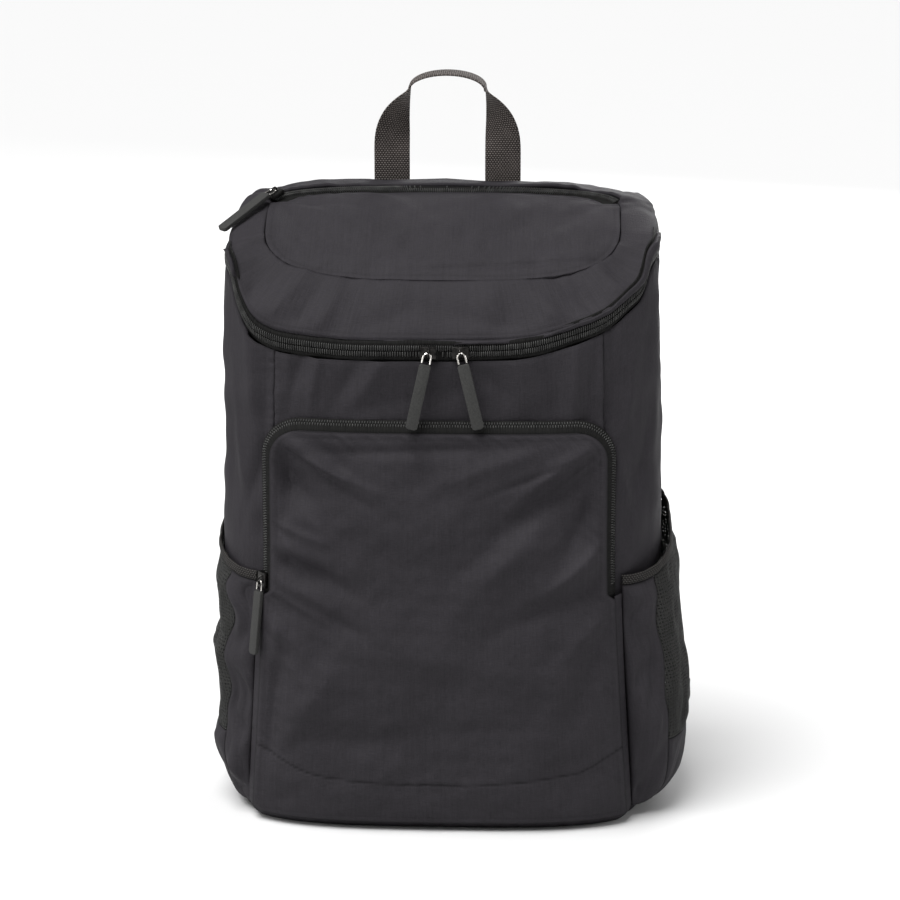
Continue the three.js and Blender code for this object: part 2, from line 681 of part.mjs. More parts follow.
// Carry loop: flat legs sewn to the back, twisted a quarter turn so that the top lies edge up
function carryLoop() {
  const legShare = 0.4;
  const twistTop = loopTop - loopArch;
  const y = bodyDepth / 2 + seamGap + webbing / 2;
  const turned = (height) => min(max((height - loopTwistStart) / (twistTop - loopTwistStart), 0), 1);
  const twist = (height) => (PI / 2) * turned(height) ** 1.5;
  const middle = (t) => {
    const side = t < 0.5 ? -1 : 1;
    const run = min(t, 1 - t) / legShare;
    if (run > 1) {
      const angle = (PI / 2) * ((min(t, 1 - t) - legShare) / (0.5 - legShare));
      return new Vector3((side * loopInside * cos(angle)) / 2, y, twistTop + loopArch * sin(angle));
    }
    const height = mix(loopSewn, twistTop, run);
    const inward = loopInside / 2 + (webbingWidth / 2) * cos(twist(height));
    return new Vector3(side * inward, y, height);
  };
  const across = (t) => {
    const way = tangent(middle, t);
    const turn = twist(middle(t).z);
    return new Vector3(way.z, 0, -way.x).normalize().multiplyScalar(cos(turn)).add(new Vector3(0, sin(turn), 0));
  };
  place("carry_loop", band(middle, across, webbingWidth, webbing, 32), strapCloth);
}

// Back: a yoke over the ends of the carry loop, padded straps below it, webbing through ladder locks,
// and a tab at each lower corner
function shoulderStraps() {
  const yoke = (x, v, depth) => back(x, mix(yokeBottom, yokeTop, v), 2 * seamGap + webbing + cloth + yokeSlack - depth);
  place("strap_yoke", sheet(yoke, steps(8, yokeWidth / 2, -yokeWidth / 2), steps(2), cloth), strapCloth);
  for (const [side, name] of [[-1, "left"], [1, "right"]]) {
    const behind = bodyDepth / 2 + strapStandOff;
    const path = (t) => {
      const swell = sin(PI * t);
      const x = t < 0.5 ? mix(strapTopX, strapMiddleX, t * 2) : mix(strapMiddleX, strapEndX, t * 2 - 1);
      const y = behind + strapBow * (swell * (1 - 0.25 * t) + strapSwing * t);
      return new Vector3(side * x, y, mix(yokeBottom + strapLap, strapEnd, t));
    };
    const frame = (t) => {
      const way = tangent(path, t);
      const across = new Vector3(1, 0, 0).addScaledVector(way, -way.x).normalize();
      return { across, off: across.clone().cross(way).normalize().negate() };
    };
    const ends = (t) => ease(0, 0.08, t) * ease(0, 0.08, 1 - t);
    const size = (t) => [strapWidth * mix(0.75, 1, ends(t)), mix(strapEndPad, strapPad, ends(t))];
    place(`shoulder_strap_${name}`, strand(path, frame, size, { rings: 14, corners: 8, square: 3 }), padMesh);

    const from = path(1).addScaledVector(tangent(path, 1), strapRest);
    const tabHeight = (strapTabTop + strapTabBottom) / 2;
    const to = back(side * strapTabX, tabHeight, cloth + 2 * seamGap + webbing / 2 + strapRest / 2);
    const way = to.clone().sub(from);
    const length = way.length();
    way.normalize();
    const across = new Vector3(1, 0, 0).addScaledVector(way, -way.x).normalize();
    const off = across.clone().cross(way).normalize();
    if (off.y < 0) off.negate();
    const buckleReach = buckleSlot + buckleBar;
    const weave = (run) => {
      const local = run - buckleDrop;
      if (abs(local) > buckleReach * 2) return 0;
      const lift = buckleThickness / 2 + webbing / 2 + 3 * seamGap;
      const fade = 1 - ease(buckleReach, buckleReach * 2, abs(local));
      return -lift * cos((PI * local) / buckleReach) * fade;
    };
    const line = (t) => from.clone().addScaledVector(way, t * length).addScaledVector(off, weave(t * length));
    place(`strap_webbing_${name}`, band(line, () => across.clone(), webbingWidth, webbing, 30), strapCloth);

    const outline = (width, height) => {
      const shape = new THREE.Shape();
      shape.moveTo(-width / 2, -height / 2).lineTo(width / 2, -height / 2);
      return shape.lineTo(width / 2, height / 2).lineTo(-width / 2, height / 2).closePath();
    };
    const lock = outline(buckleWidth, 2 * buckleReach + buckleBar);
    for (const end of [-1, 1]) {
      const slot = new THREE.Path();
      const middle = (end * buckleReach) / 2;
      const half = webbingWidth / 2 + 2 * seamGap;
      slot.moveTo(-half, middle - buckleSlot / 2).lineTo(half, middle - buckleSlot / 2);
      slot.lineTo(half, middle + buckleSlot / 2).lineTo(-half, middle + buckleSlot / 2).closePath();
      lock.holes.push(slot);
    }
    const plate = new THREE.ExtrudeGeometry(lock, { depth: buckleThickness, bevelEnabled: false });
    plate.translate(0, 0, -buckleThickness / 2);
    const up = way.clone().negate();
    plate.applyMatrix4(new THREE.Matrix4().makeBasis(across, up, across.clone().cross(up)));
    plate.translate(...from.clone().addScaledVector(way, buckleDrop));
    place(`strap_buckle_${name}`, plate, hardPlastic);

    const tab = (u, v, depth) => {
      const half = (strapTabWidth / 2) * mix(1, 0.7, v);
      return back(side * strapTabX - u * half, mix(strapTabBottom, strapTabTop, v), seamGap + cloth - depth);
    };
    place(`strap_tab_${name}`, sheet(tab, steps(4, -1, 1), steps(2), cloth), strapCloth);
  }
}

// Zip pulls: a slider on the teeth, a bright wire loop through its bridge and a rubber tab
function pull(name, at, zipWay, outward, hang, lead = hang) {
  const body = new THREE.BoxGeometry(sliderLength, sliderWidth, sliderHeight);
  body.applyMatrix4(new THREE.Matrix4().makeBasis(zipWay, outward.clone().cross(zipWay), outward));
  body.translate(...at.clone().addScaledVector(outward, sliderHeight / 2));
  const seat = at.clone().addScaledVector(outward, sliderHeight);
  const flat = hang.clone().addScaledVector(outward, -hang.dot(outward)).normalize();
  const bridge = new THREE.TorusGeometry(bridgeRadius, bridgeBar, 5, 10);
  bridge.applyMatrix4(new THREE.Matrix4().makeBasis(flat, outward, flat.clone().cross(outward)));
  bridge.translate(...seat);
  place(`slider_${name}`, joined(body, bridge), darkMetal);

  const side = lead.clone().cross(outward).normalize();
  const leadFace = side.clone().cross(lead).normalize();
  const face = side.clone().cross(hang).normalize();
  const eye = seat.clone().addScaledVector(outward, (bridgeRadius - bridgeBar) / 2);
  const half = wireWidth / 2;
  const wire = (t) => {
    const leg = wireLength - half;
    const total = 2 * leg + PI * half;
    const run = min(t, 1 - t) * total;
    const hand = t < 0.5 ? -1 : 1;
    const turn = max(run - leg, 0) / half;
    const drop = run < leg ? wireLength - run : half - half * sin(turn);
    const beside = run < leg ? half : half * cos(turn);
    return eye.clone().addScaledVector(lead, drop).addScaledVector(side, hand * beside);
  };
  const frame = (t) => ({ across: leadFace, off: tangent(wire, t).cross(leadFace).normalize() });
  const thin = { rings: 12, corners: 5 };
  place(`pull_wire_${name}`, strand(wire, frame, () => [2 * pullWire, 2 * pullWire], thin), brightWire);

  const shape = new THREE.Shape();
  const edge = pullWidth / 2;
  shape.moveTo(-edge * 0.8, 0).lineTo(-edge, -pullChamfer).lineTo(-edge, -pullLength + pullChamfer);
  shape.lineTo(-edge * 0.6, -pullLength).lineTo(edge * 0.6, -pullLength);
  shape.lineTo(edge, -pullLength + pullChamfer).lineTo(edge, -pullChamfer).lineTo(edge * 0.8, 0).closePath();
  const tab = new THREE.ExtrudeGeometry(shape, { depth: pullThickness, bevelEnabled: false });
  tab.translate(0, 0, -pullThickness / 2);
  const up = hang.clone().negate();
  tab.applyMatrix4(new THREE.Matrix4().makeBasis(up.clone().cross(face), up, face));
  tab.translate(...eye.clone().addScaledVector(lead, wireLength + seamGap).addScaledVector(hang, seamGap));
  place(`pull_tab_${name}`, tab, pullRubber);
}

function pulls() {
  const clear = -zipSunk + 2 * seamGap + teethHeight;
  for (const [name, x, swing] of [["main_left", -pullSpread, -0.22], ["main_right", pullSpread, 0.25]]) {
    const angle = angleAt(pullMiddle + x, { height: zipHeight(-PI / 2) });
    const hang = new Vector3(swing, -0.13, -1).normalize();
    pull(name, mainZipPoint(angle, 0, clear), new Vector3(1, 0, 0), new Vector3(0, -1, 0), hang);
  }
  const foot = 0.018;
  const way = archPoint(foot + 0.01, 0.8, 0).sub(archPoint(foot - 0.01, 0.8, 0)).normalize();
  const width = archPoint(foot, 0.7, 0).sub(archPoint(foot, 0.3, 0));
  const off = way.clone().cross(width).normalize();
  const hang = new Vector3(0, 0, -1).addScaledVector(off, 0.12).normalize();
  pull("front", archPoint(foot, 0.8, 2 * seamGap), way, off, hang);
  const lidAngle = PI - degrees(lidZipEnd + zipTaper * 1.3);
  const along = lidZipPoint(lidAngle - 0.02, 0, 0).sub(lidZipPoint(lidAngle + 0.02, 0, 0)).normalize();
  const normal = lidNormal(lidAngle, 0.5);
  const square = normal.clone().addScaledVector(along, -normal.dot(along)).normalize();
  const draped = new Vector3(-0.62, -0.62, -0.42).normalize();
  const flat = draped.clone().addScaledVector(square, -draped.dot(square) - 0.04).normalize();
  pull("lid", lidZipPoint(lidAngle, 0, clear), along, square, draped, flat);
}

walls();
base();
lidPanels();
zips();
frontPocket();
sidePocket(-1, "left", leftPocketBulge);
sidePocket(1, "right", rightPocketBulge);
carryLoop();
shoulderStraps();
pulls();

const box = new THREE.Box3().setFromObject(bag);
bag.position.set(-(box.min.x + box.max.x) / 2, -(box.min.y + box.max.y) / 2, -box.min.z);

export default bag;
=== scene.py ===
import math
import bmesh
import bpy
import numpy as np
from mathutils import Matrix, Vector


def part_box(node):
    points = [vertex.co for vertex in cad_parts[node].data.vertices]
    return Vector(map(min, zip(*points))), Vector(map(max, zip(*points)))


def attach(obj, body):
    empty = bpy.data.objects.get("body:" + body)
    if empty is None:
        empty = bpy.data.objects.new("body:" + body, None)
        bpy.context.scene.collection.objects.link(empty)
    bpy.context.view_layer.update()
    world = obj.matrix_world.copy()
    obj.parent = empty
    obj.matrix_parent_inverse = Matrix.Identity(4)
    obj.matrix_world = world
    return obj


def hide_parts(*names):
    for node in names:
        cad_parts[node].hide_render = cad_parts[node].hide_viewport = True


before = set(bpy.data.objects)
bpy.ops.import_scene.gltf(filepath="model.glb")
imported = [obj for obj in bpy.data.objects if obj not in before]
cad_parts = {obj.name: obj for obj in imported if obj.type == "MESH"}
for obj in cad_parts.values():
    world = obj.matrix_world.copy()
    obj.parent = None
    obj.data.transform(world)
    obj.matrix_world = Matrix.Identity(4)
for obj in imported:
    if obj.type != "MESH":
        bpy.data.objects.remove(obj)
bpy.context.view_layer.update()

# Viewpoint: the bag is seen from in front, a little to its right and 15 degrees from above, from
# about 2.2 m away, so its upright lines hardly converge.
view_middle = Vector((-0.0031, -0.014, 0.25))
view_distance = 2.2
view_lift = math.radians(15)
view_turn = math.radians(2.3)

away = Vector((
    math.sin(view_turn) * math.cos(view_lift),
    -math.cos(view_turn) * math.cos(view_lift),
    math.sin(view_lift),
))
camera = bpy.data.objects.new("camera", bpy.data.cameras.new("camera"))
camera.data.lens = 126.6
camera.data.sensor_width = 36
camera.location = view_middle + away * view_distance
camera.rotation_euler = away.to_track_quat("Z", "Y").to_euler()
bpy.context.collection.objects.link(camera)
bpy.context.scene.camera = camera


# Studio: a pale floor under a broad soft light from above, with a panel of light on each side, one
# behind that skims the lid, and a weak even surround.
def soft_panel(name, place, size, power):
    """A square area light at `place`, turned towards the middle of the bag."""
    light = bpy.data.objects.new(name, bpy.data.lights.new(name, "AREA"))
    light.data.shape = "SQUARE"
    light.data.size = size
    light.data.energy = power
    light.location = place
    light.rotation_euler = (Vector(place) - view_middle).to_track_quat("Z", "Y").to_euler()
    bpy.context.collection.objects.link(light)


soft_panel("light_left", (-1.7, -0.75, 0.75), 0.9, 9)
soft_panel("light_right", (1.8, -0.5, 0.9), 0.9, 8)
soft_panel("light_behind", (0.6, 1.9, 1.1), 1.2, 30)

overhead = bpy.data.objects.new("light_overhead", bpy.data.lights.new("light_overhead", "SUN"))
overhead.data.energy = 4.6
overhead.data.angle = math.radians(42)
overhead.rotation_euler = Vector((-0.3, -0.32, 1)).to_track_quat("Z", "Y").to_euler()
bpy.context.collection.objects.link(overhead)

surround = bpy.data.worlds.new("surround")
surround.use_nodes = True
surround.node_tree.nodes["Background"].inputs["Color"].default_value = (1, 1, 1, 1)
surround.node_tree.nodes["Background"].inputs["Strength"].default_value = 0.18
bpy.context.scene.world = surround
bpy.context.scene.view_settings.view_transform = "Standard"

floor_mesh = bpy.data.meshes.new("floor")
floor_mesh.from_pydata([(-45, -45, 0), (45, -45, 0), (45, 45, 0), (-45, 45, 0)], [], [(0, 1, 2, 3)])
floor = bpy.data.objects.new("floor", floor_mesh)
floor_paint = bpy.data.materials.new("floor_paint")
floor_paint.use_nodes = True
floor_paint.node_tree.nodes["Principled BSDF"].inputs["Base Color"].default_value = (0.64, 0.64, 0.64, 1)
floor_paint.node_tree.nodes["Principled BSDF"].inputs["Roughness"].default_value = 0.9
floor_mesh.materials.append(floor_paint)
bpy.context.collection.objects.link(floor)


# Main compartment: four padded walls of fine charcoal polyester over foam, sewn edge to edge, so
# that each vertical seam is a shallow valley with slightly puckered cloth beside it.
MM = 0.001
body_width = 302
body_depth = 153
back_height = 420
front_squareness = 3.4
back_squareness = 6.0
base_pad = 8
seam_gap = 0.3
padded_wall = 5
wall_cloth = padded_wall - 1.2
front_seam = body_width / 2 - 39
back_seam = body_width / 2 - 16
bag_place = np.array([
    (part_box("strap_yoke")[0][0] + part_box("strap_yoke")[1][0]) / 2,
    (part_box("carry_loop")[0][1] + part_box("carry_loop")[1][1]) / 2 - (body_depth / 2 + 1.1) * MM,
    0,
])

# Share of the half width, and of the half depth in front and behind, by share of the height
sections = [
    (0, 0.93, 0.965, 0.975),
    (0.02, 0.96, 0.98, 0.99),
    (0.05, 0.982, 0.99, 1),
    (0.12, 0.998, 1, 1),
    (0.4, 1.004, 1.012, 1),
    (0.62, 0.996, 1.015, 1),
    (0.8, 0.985, 1.005, 1),
    (1, 0.975, 0.98, 0.99),
]
# Height of the zip line as a share of the back's, right and left, by degrees round from the front
zip_line = [
    (0, 0.805, 0.805),
    (12, 0.811, 0.805),
    (24, 0.829, 0.809),
    (38, 0.85, 0.816),
    (50, 0.877, 0.834),
    (60, 0.898, 0.872),
    (68, 0.937, 0.915),
    (80, 0.949, 0.928),
    (92, 0.953, 0.935),
    (120, 0.975, 0.968),
    (145, 0.99, 0.988),
    (180, 0.998, 0.998),
]


def curve(rows, at, column=1):
    """A smooth curve through a table: cubic pieces whose slopes are those of the neighbouring rows."""
    key = np.array([row[0] for row in rows], float)
    value = np.array([row[column] for row in rows], float)
    slope = np.gradient(value)
    slope[1:-1] = (value[2:] - value[:-2]) / (key[2:] - key[:-2])
    slope[0] = (value[1] - value[0]) / (key[1] - key[0])
    slope[-1] = (value[-1] - value[-2]) / (key[-1] - key[-2])
    at = np.clip(at, key[0], key[-1])
    i = np.clip(np.searchsorted(key, at, side="right") - 1, 0, len(key) - 2)
    span = key[i + 1] - key[i]
    t = (at - key[i]) / span
    bend = t * t * (3 - 2 * t)
    lead = t * (1 - t) ** 2 * span * slope[i]
    trail = t * t * (t - 1) * span * slope[i + 1]
    return value[i] * (1 - bend) + value[i + 1] * bend + lead + trail


def ease(start, stop, at):
    """0 up to start, 1 from stop on, and a smooth step between."""
    t = np.clip((at - start) / (stop - start), 0, 1)
    return t * t * (3 - 2 * t)


def power(value, exponent):
    """The power of the size, with the sign kept."""
    return np.sign(value) * np.abs(value) ** exponent


def mix(a, b, t):
    """The value that is the share t of the way from a to b."""
    return a + (b - a) * t


def unit(vectors):
    """Each vector divided by its length."""
    return vectors / np.maximum(np.linalg.norm(vectors, axis=-1, keepdims=True), 1e-12)


def half_width(height):
    """Half the compartment's width at a height."""
    return body_width / 2 * curve(sections, height / back_height)


def skin(angle, height, out=0.0):
    """The compartment's outer face: a squared ellipse in plan, squarer behind, whose half width and
    half depth follow the sections, moved out along its normal."""
    angle, height, out = np.broadcast_arrays(angle, height, np.asarray(out, float))
    ahead = np.sin(angle) < 0
    n = np.where(ahead, front_squareness, back_squareness)
    a = half_width(height)
    up = height / back_height
    b = body_depth / 2 * np.where(ahead, curve(sections, up, 2), curve(sections, up, 3))
    x = power(np.cos(angle), 2 / n)
    y = power(np.sin(angle), 2 / n)
    normal = unit(np.stack([power(x, n - 1) / a, power(y, n - 1) / b], -1))
    return np.stack([a * x + out * normal[..., 0], b * y + out * normal[..., 1], height + 0.0 * x], -1)


def angle_at(x, height=back_height / 2, behind=False):
    """The angle at which the skin's front, or its back, has this x."""
    n = back_squareness if behind else front_squareness
    turn = np.arccos(power(np.clip(x / half_width(height), -1, 1), n / 2))
    return turn if behind else -turn


def zip_height(angle):
    """The height of the main zip's middle line, from the table of its right and left halves."""
    turned = np.degrees(angle) + 90
    round_by = np.abs(turned - 360 * np.round(turned / 360))
    right = curve(zip_line, round_by, 1)
    left = curve(zip_line, round_by, 2)
    return back_height * np.where(np.cos(angle) > 0, right, left)


main_zip_half = 7
zip_end = math.radians(38)
zip_taper = math.radians(10)


def zip_half(angle):
    """Half the height of the main zip's opening, which closes to a seam across the back."""
    behind = ease(math.sin(zip_end), math.sin(zip_end + zip_taper), np.sin(angle))
    return mix(seam_gap / 2, main_zip_half, 1 - behind)


def normals(points, closed=False):
    """The unit normals of a grid of points, from the cross product of its two ways."""
    if closed:
        around = np.concatenate([points[:, -1:], points, points[:, :1]], 1)
        across = around[:, 2:] - around[:, :-2]
    else:
        across = np.gradient(points, axis=1)
    faced = unit(np.cross(across, np.gradient(points, axis=0)))
    lost = np.linalg.norm(faced[-1], axis=-1) < 0.5
    faced[-1, lost] = unit(faced[-2].mean(0))
    return faced


def lengths(points):
    """Distances over the cloth, across along its middle row and up along its middle column."""
    across = np.linalg.norm(np.diff(points, axis=1), axis=-1).mean(0)
    up = np.linalg.norm(np.diff(points, axis=0), axis=-1).mean(1)
    return np.concatenate([[0], np.cumsum(across)]), np.concatenate([[0], np.cumsum(up)])


def solid(name, vertices, quads, cloth, caps=()):
    """A closed mesh of quads with flat caps, from points in millimetres. It is turned right side out
    by the sign of its volume, and its map holds each corner's place on the cloth in metres."""
    corner = vertices[quads]
    first = (corner[:, 0] * np.cross(corner[:, 1], corner[:, 2])).sum()
    second = (corner[:, 0] * np.cross(corner[:, 2], corner[:, 3])).sum()
    volume = first + second
    for cap in caps:
        fan = vertices[np.asarray(cap)]
        volume += (fan[0] * np.cross(fan[1:-1], fan[2:])).sum()
    if volume < 0:
        quads = quads[:, ::-1]
        cloth = cloth[:, ::-1]
        caps = [list(cap)[::-1] for cap in caps]
    mesh = bpy.data.meshes.new(name)
    faces = quads.tolist() + [[int(i) for i in cap] for cap in caps]
    mesh.from_pydata((vertices * MM + bag_place).tolist(), [], faces)
    spread = np.zeros((sum(len(cap) for cap in caps), 2))
    layer = mesh.uv_layers.new(name="cloth")
    layer.data.foreach_set("uv", np.concatenate([cloth.reshape(-1, 2) * MM, spread]).ravel())
    mesh.polygons.foreach_set("use_smooth", np.ones(len(faces), bool))
    made = bpy.data.objects.new(name, mesh)
    bpy.context.collection.objects.link(made)
    return made


def corners(grid):
    """The four corners of each square of a grid, round the square."""
    return np.stack([grid[:-1, :-1], grid[:-1, 1:], grid[1:, 1:], grid[1:, :-1]], 2)


def wrapped(grid):
    """A grid whose first column comes again after its last one."""
    return np.concatenate([grid, grid[:, :1]], 1)


def shell(name, outer, thick, closed=False, pole=False, plan=None, seam=None):
    """A closed cloth shell. `outer` is its outer face, rows up and columns to the right as seen from
    outside; the inner face lies `thick` behind it, and strips close the free edges."""
    rows, columns = outer.shape[:2]
    count = rows * columns
    if pole:
        outer[-1] = outer[-1].mean(0)
    vertices = np.concatenate([outer.reshape(-1, 3), (outer - normals(outer, closed) * thick).reshape(-1, 3)])
    numbers = np.arange(count).reshape(rows, columns)
    full = outer
    if closed:
        numbers = wrapped(numbers)
        full = wrapped(outer)
    if plan is None:
        across, up = lengths(full)
        place = np.stack(np.broadcast_arrays(across[None, :], up[:, None]), -1)
    else:
        place = wrapped(plan) if closed else plan
    face = corners(numbers).reshape(-1, 4)
    cloth = corners(place).reshape(-1, 4, 2)
    edges = [(numbers[0, :-1], numbers[0, 1:], place[0, :-1], place[0, 1:])]
    if not pole:
        edges.append((numbers[-1, 1:], numbers[-1, :-1], place[-1, 1:], place[-1, :-1]))
    if not closed:
        edges.append((numbers[:-1, -1], numbers[1:, -1], place[:-1, -1], place[1:, -1]))
        edges.append((numbers[1:, 0], numbers[:-1, 0], place[1:, 0], place[:-1, 0]))
    strips = [np.stack([b, a, a + count, b + count], -1) for a, b, _, _ in edges]
    strip_cloth = [np.stack([q, p, p + [0, thick], q + [0, thick]], 1) for _, _, p, q in edges]
    quads = np.concatenate([face, face[:, ::-1] + count, *strips])
    made = solid(name, vertices, quads, np.concatenate([cloth, cloth[:, ::-1], *strip_cloth]))
    # `seam` is a painted shade mask on the outer face, kept as the seam attribute: 1 where darkest.
    if seam is not None:
        mark = made.data.attributes.new("seam", "FLOAT", "POINT")
        outside = np.clip(np.broadcast_to(seam, (rows, columns)).ravel(), 0, 1)
        mark.data.foreach_set("value", np.concatenate([outside, np.zeros(count)]))
    if pole:
        gather(made)
    return made


def gather(made):
    """Merges the points that lie in one place, such as a pole's."""
    work = bmesh.new()
    work.from_mesh(made.data)
    bmesh.ops.remove_doubles(work, verts=work.verts, dist=1e-6)
    bmesh.ops.dissolve_degenerate(work, edges=work.edges, dist=1e-7)
    work.to_mesh(made.data)
    work.free()


def folds(across, up, rows):
    """Soft folds: each is a ridge (or a dent) with a bell's section across its line and along it, at
    (across, up), turned from level, `bend` curving its line."""
    total = np.zeros(np.broadcast(across, up).shape)
    for x, z, turn, long, wide, high, bend in rows:
        c, s = math.cos(math.radians(turn)), math.sin(math.radians(turn))
        run = (across - x) * c + (up - z) * s
        off = (up - z) * c - (across - x) * s - bend * (run / long) ** 2
        total = total + high * np.exp(-np.abs(off / wide) ** 1.7 - (run / long) ** 2)
    return total


def ripples(across, up, seed, size, waves=16, stretch=1.0):
    """A sum of waves of random direction and phase, about `size` long, between about -1 and 1."""
    chance = np.random.default_rng(seed)
    total = np.zeros(np.broadcast(across, up).shape)
    for _ in range(waves):
        turn = chance.uniform(0, math.pi)
        pitch = 2 * math.pi / (size * chance.uniform(0.6, 1.7))
        wave = (across * math.cos(turn) + up * math.sin(turn) * stretch) * pitch
        total = total + np.sin(wave + chance.uniform(0, 2 * math.pi))
    return total / math.sqrt(waves)


def bell(off, wide):
    """1 where off is 0, falling smoothly to almost 0 at twice the width."""
    return np.exp(-((off / wide) ** 2))


def pucker(run, off, seed, reach=7.0, pitch=8.0):
    """The ripples beside a sewn edge: waves along it that fade away from it."""
    return ripples(run, 0 * run, seed, pitch, 8) * np.exp(-np.abs(off) / reach)


class Shade:
    """A socket of a material. Sums written with it add Math nodes, and node() adds any other node."""

    def __init__(self, tree, socket=None):
        self.tree = tree
        self.socket = socket

    def node(self, kind, settings=None, values=None, output=0):
        made = self.tree.nodes.new(kind)
        for key, value in (settings or {}).items():
            setattr(made, key, value)
        for key, value in (values or {}).items():
            if isinstance(value, Shade):
                self.tree.links.new(value.socket, made.inputs[key])
            else:
                made.inputs[key].default_value = value
        return Shade(self.tree, made.outputs[output])

    def math(self, operation, *others):
        return self.node("ShaderNodeMath", {"operation": operation}, dict(enumerate((self, *others))))

    def __add__(self, other):
        return self.math("ADD", other)

    __radd__ = __add__

    def __mul__(self, other):
        return self.math("MULTIPLY", other)

    __rmul__ = __mul__

    def __sub__(self, other):
        return self.math("SUBTRACT", other)

    def __rsub__(self, other):
        return (self * -1) + other

    def blend(self, low, high):
        """The colour that runs from low to high as this goes from 0 to 1."""
        settings = {"data_type": "RGBA", "clamp_factor": True}
        return self.node("ShaderNodeMix", settings, {0: self, 6: low, 7: high}, 2)

    def span(self, low, high, start=0.0, stop=1.0):
        """This, moved so that low becomes start and high becomes stop, and kept between them."""
        values = {"Value": self, "From Min": low, "From Max": high, "To Min": start, "To Max": stop}
        return self.node("ShaderNodeMapRange", {"clamp": True}, values)


def material(name, roughness, **fixed):
    """A new material: its tree as a Shade, and a call that links colour, roughness and bump."""
    made = bpy.data.materials.new(name)
    made.use_nodes = True
    shader = made.node_tree.nodes["Principled BSDF"]
    shader.inputs["Roughness"].default_value = roughness
    for key, value in fixed.items():
        shader.inputs[key.replace("_", " ")].default_value = value
    tree = Shade(made.node_tree)

    def finish(color=None, rough=None, height=None, distance=0.0002, **more):
        if height is not None:
            relief = {"Height": height, "Distance": distance}
            more["Normal"] = tree.node("ShaderNodeBump", None, relief)
        if color is not None:
            more["Base Color"] = color
        if rough is not None:
            more["Roughness"] = rough
        for key, value in more.items():
            made.node_tree.links.new(value.socket, shader.inputs[key])
        return made

    return tree, finish


def threads(tree, fine, long, turned=False):
    """Noise drawn out along the cloth's threads: `fine` metres across them, `long` along them."""
    place = tree.node("ShaderNodeUVMap", {"uv_map": "cloth"})
    scale = (1 / long, 1 / fine, 1) if turned else (1 / fine, 1 / long, 1)
    moved = tree.node("ShaderNodeMapping", None, {"Vector": place, "Scale": scale})
    values = {"Vector": moved, "Scale": 1.0, "Detail": 1.5}
    return tree.node("ShaderNodeTexNoise", {"noise_dimensions": "2D"}, values)


def net_cells(tree, scale, randomness):
    """How far each place on the cloth lies from the middle of its cell, in rows of close cells."""
    place = tree.node("ShaderNodeUVMap", {"uv_map": "cloth"})
    values = {"Vector": place, "Scale": scale, "Randomness": randomness}
    return tree.node("ShaderNodeTexVoronoi", {"voronoi_dimensions": "2D"}, values)


def patches(tree, size, detail=2.0):
    """Slow soft noise over the whole piece, its patches about `size` metres wide."""
    place = tree.node("ShaderNodeTexCoord", None, None, 3)
    return tree.node("ShaderNodeTexNoise", None, {"Vector": place, "Scale": 1 / size, "Detail": detail})


def polyester_finish():
    """Fine plain weave: warp and weft as drawn-out noise, slightly slubbed, paler on ridges, with painted
    shade: dark in the valley of a seam, where the seam attribute is high."""
    tree, finish = material("polyester", 0.7, Specular_IOR_Level=0.1)
    warp = threads(tree, 0.0005, 0.005)
    weft = threads(tree, 0.0006, 0.006, turned=True)
    slub = threads(tree, 0.0016, 0.04)
    weave = warp * 0.5 + weft * 0.5
    seam = tree.node("ShaderNodeAttribute", {"attribute_name": "seam"}, None, 2)
    tone = (weave * 0.8 + slub * 0.25 + patches(tree, 0.04) * 0.25 - 0.15).span(0.15, 0.85)
    cloth = tone.blend((0.0165, 0.0152, 0.0174, 1), (0.0345, 0.0318, 0.0364, 1))
    # Painted shade: the seam attribute blends the cloth towards near black in the valleys of seams and edges.
    color = (seam * 0.6).blend(cloth, (0.006, 0.0055, 0.0063, 1))
    rough = (weave + patches(tree, 0.02) * 0.2).span(0.3, 0.9, 0.6, 0.78)
    return finish(color, rough, weave + slub * 0.2, 0.0003)


polyester = polyester_finish()


def sewn(made, finish, slot, *nodes):
    """Gives a piece its finish and has it stand for its nodes."""
    made.data.materials.append(finish)
    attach(made, "root")
    if nodes:
        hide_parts(*nodes)
    return made


def wall(node, start, stop, columns, rows, creases, seed, finish=None, slot="polyester", calm=1.0):
    """A wall between two angles, from the base to the zip: the skin, with rounded sewn edges, puckers
    beside them, the panel's creases and slow ripples."""
    angle = np.linspace(start, stop, columns)[None, :]
    share = 1 - (1 - np.linspace(0, 1, rows)[:, None]) ** 1.25
    low = base_pad + seam_gap
    high = zip_height(angle) - zip_half(angle) + 0.6 * ease(1.5, 0.15, zip_half(angle))
    height = mix(low, high, share)
    flat = skin(angle, height)
    across, _ = lengths(flat)
    run = np.broadcast_to(across[None, :], height.shape)
    side = np.minimum(run, across[-1] - run)
    top = high - height
    out = -0.5 * bell(side, 1.2) - 0.8 * bell(height - low, 2.0)
    out = out - 0.9 * bell(top, 1.5)
    out = out + 0.3 * pucker(height, side, seed) + 0.3 * pucker(run, top, seed + 1, 9, 11)
    centred = run - across[-1] / 2
    out = out + folds(centred, height, creases)
    slow = 1.1 * ripples(run, height, seed + 2, 110) + 0.5 * ripples(run, height, seed + 3, 34)
    out = out + calm * slow * ease(-4, 30, top)
    # Painted shade along the sewn edges and under the zip, kept as the seam attribute.
    seam = 0.35 * bell(side, 1.0) + 0.5 * bell(top, 1.5)
    made = shell(node + "_cloth", skin(angle, height, out), wall_cloth, seam=seam)
    sewn(made, finish or polyester, slot, node)


half_seam = seam_gap / 2
front_start = angle_at(-front_seam + half_seam)
front_stop = angle_at(front_seam - half_seam)
right_start = angle_at(front_seam + half_seam)
right_stop = angle_at(back_seam + half_seam, behind=True)
back_start = angle_at(back_seam - half_seam, behind=True)
back_stop = angle_at(-back_seam + half_seam, behind=True)
left_start = angle_at(-back_seam - half_seam, behind=True)
left_stop = 2 * math.pi + angle_at(-front_seam - half_seam)

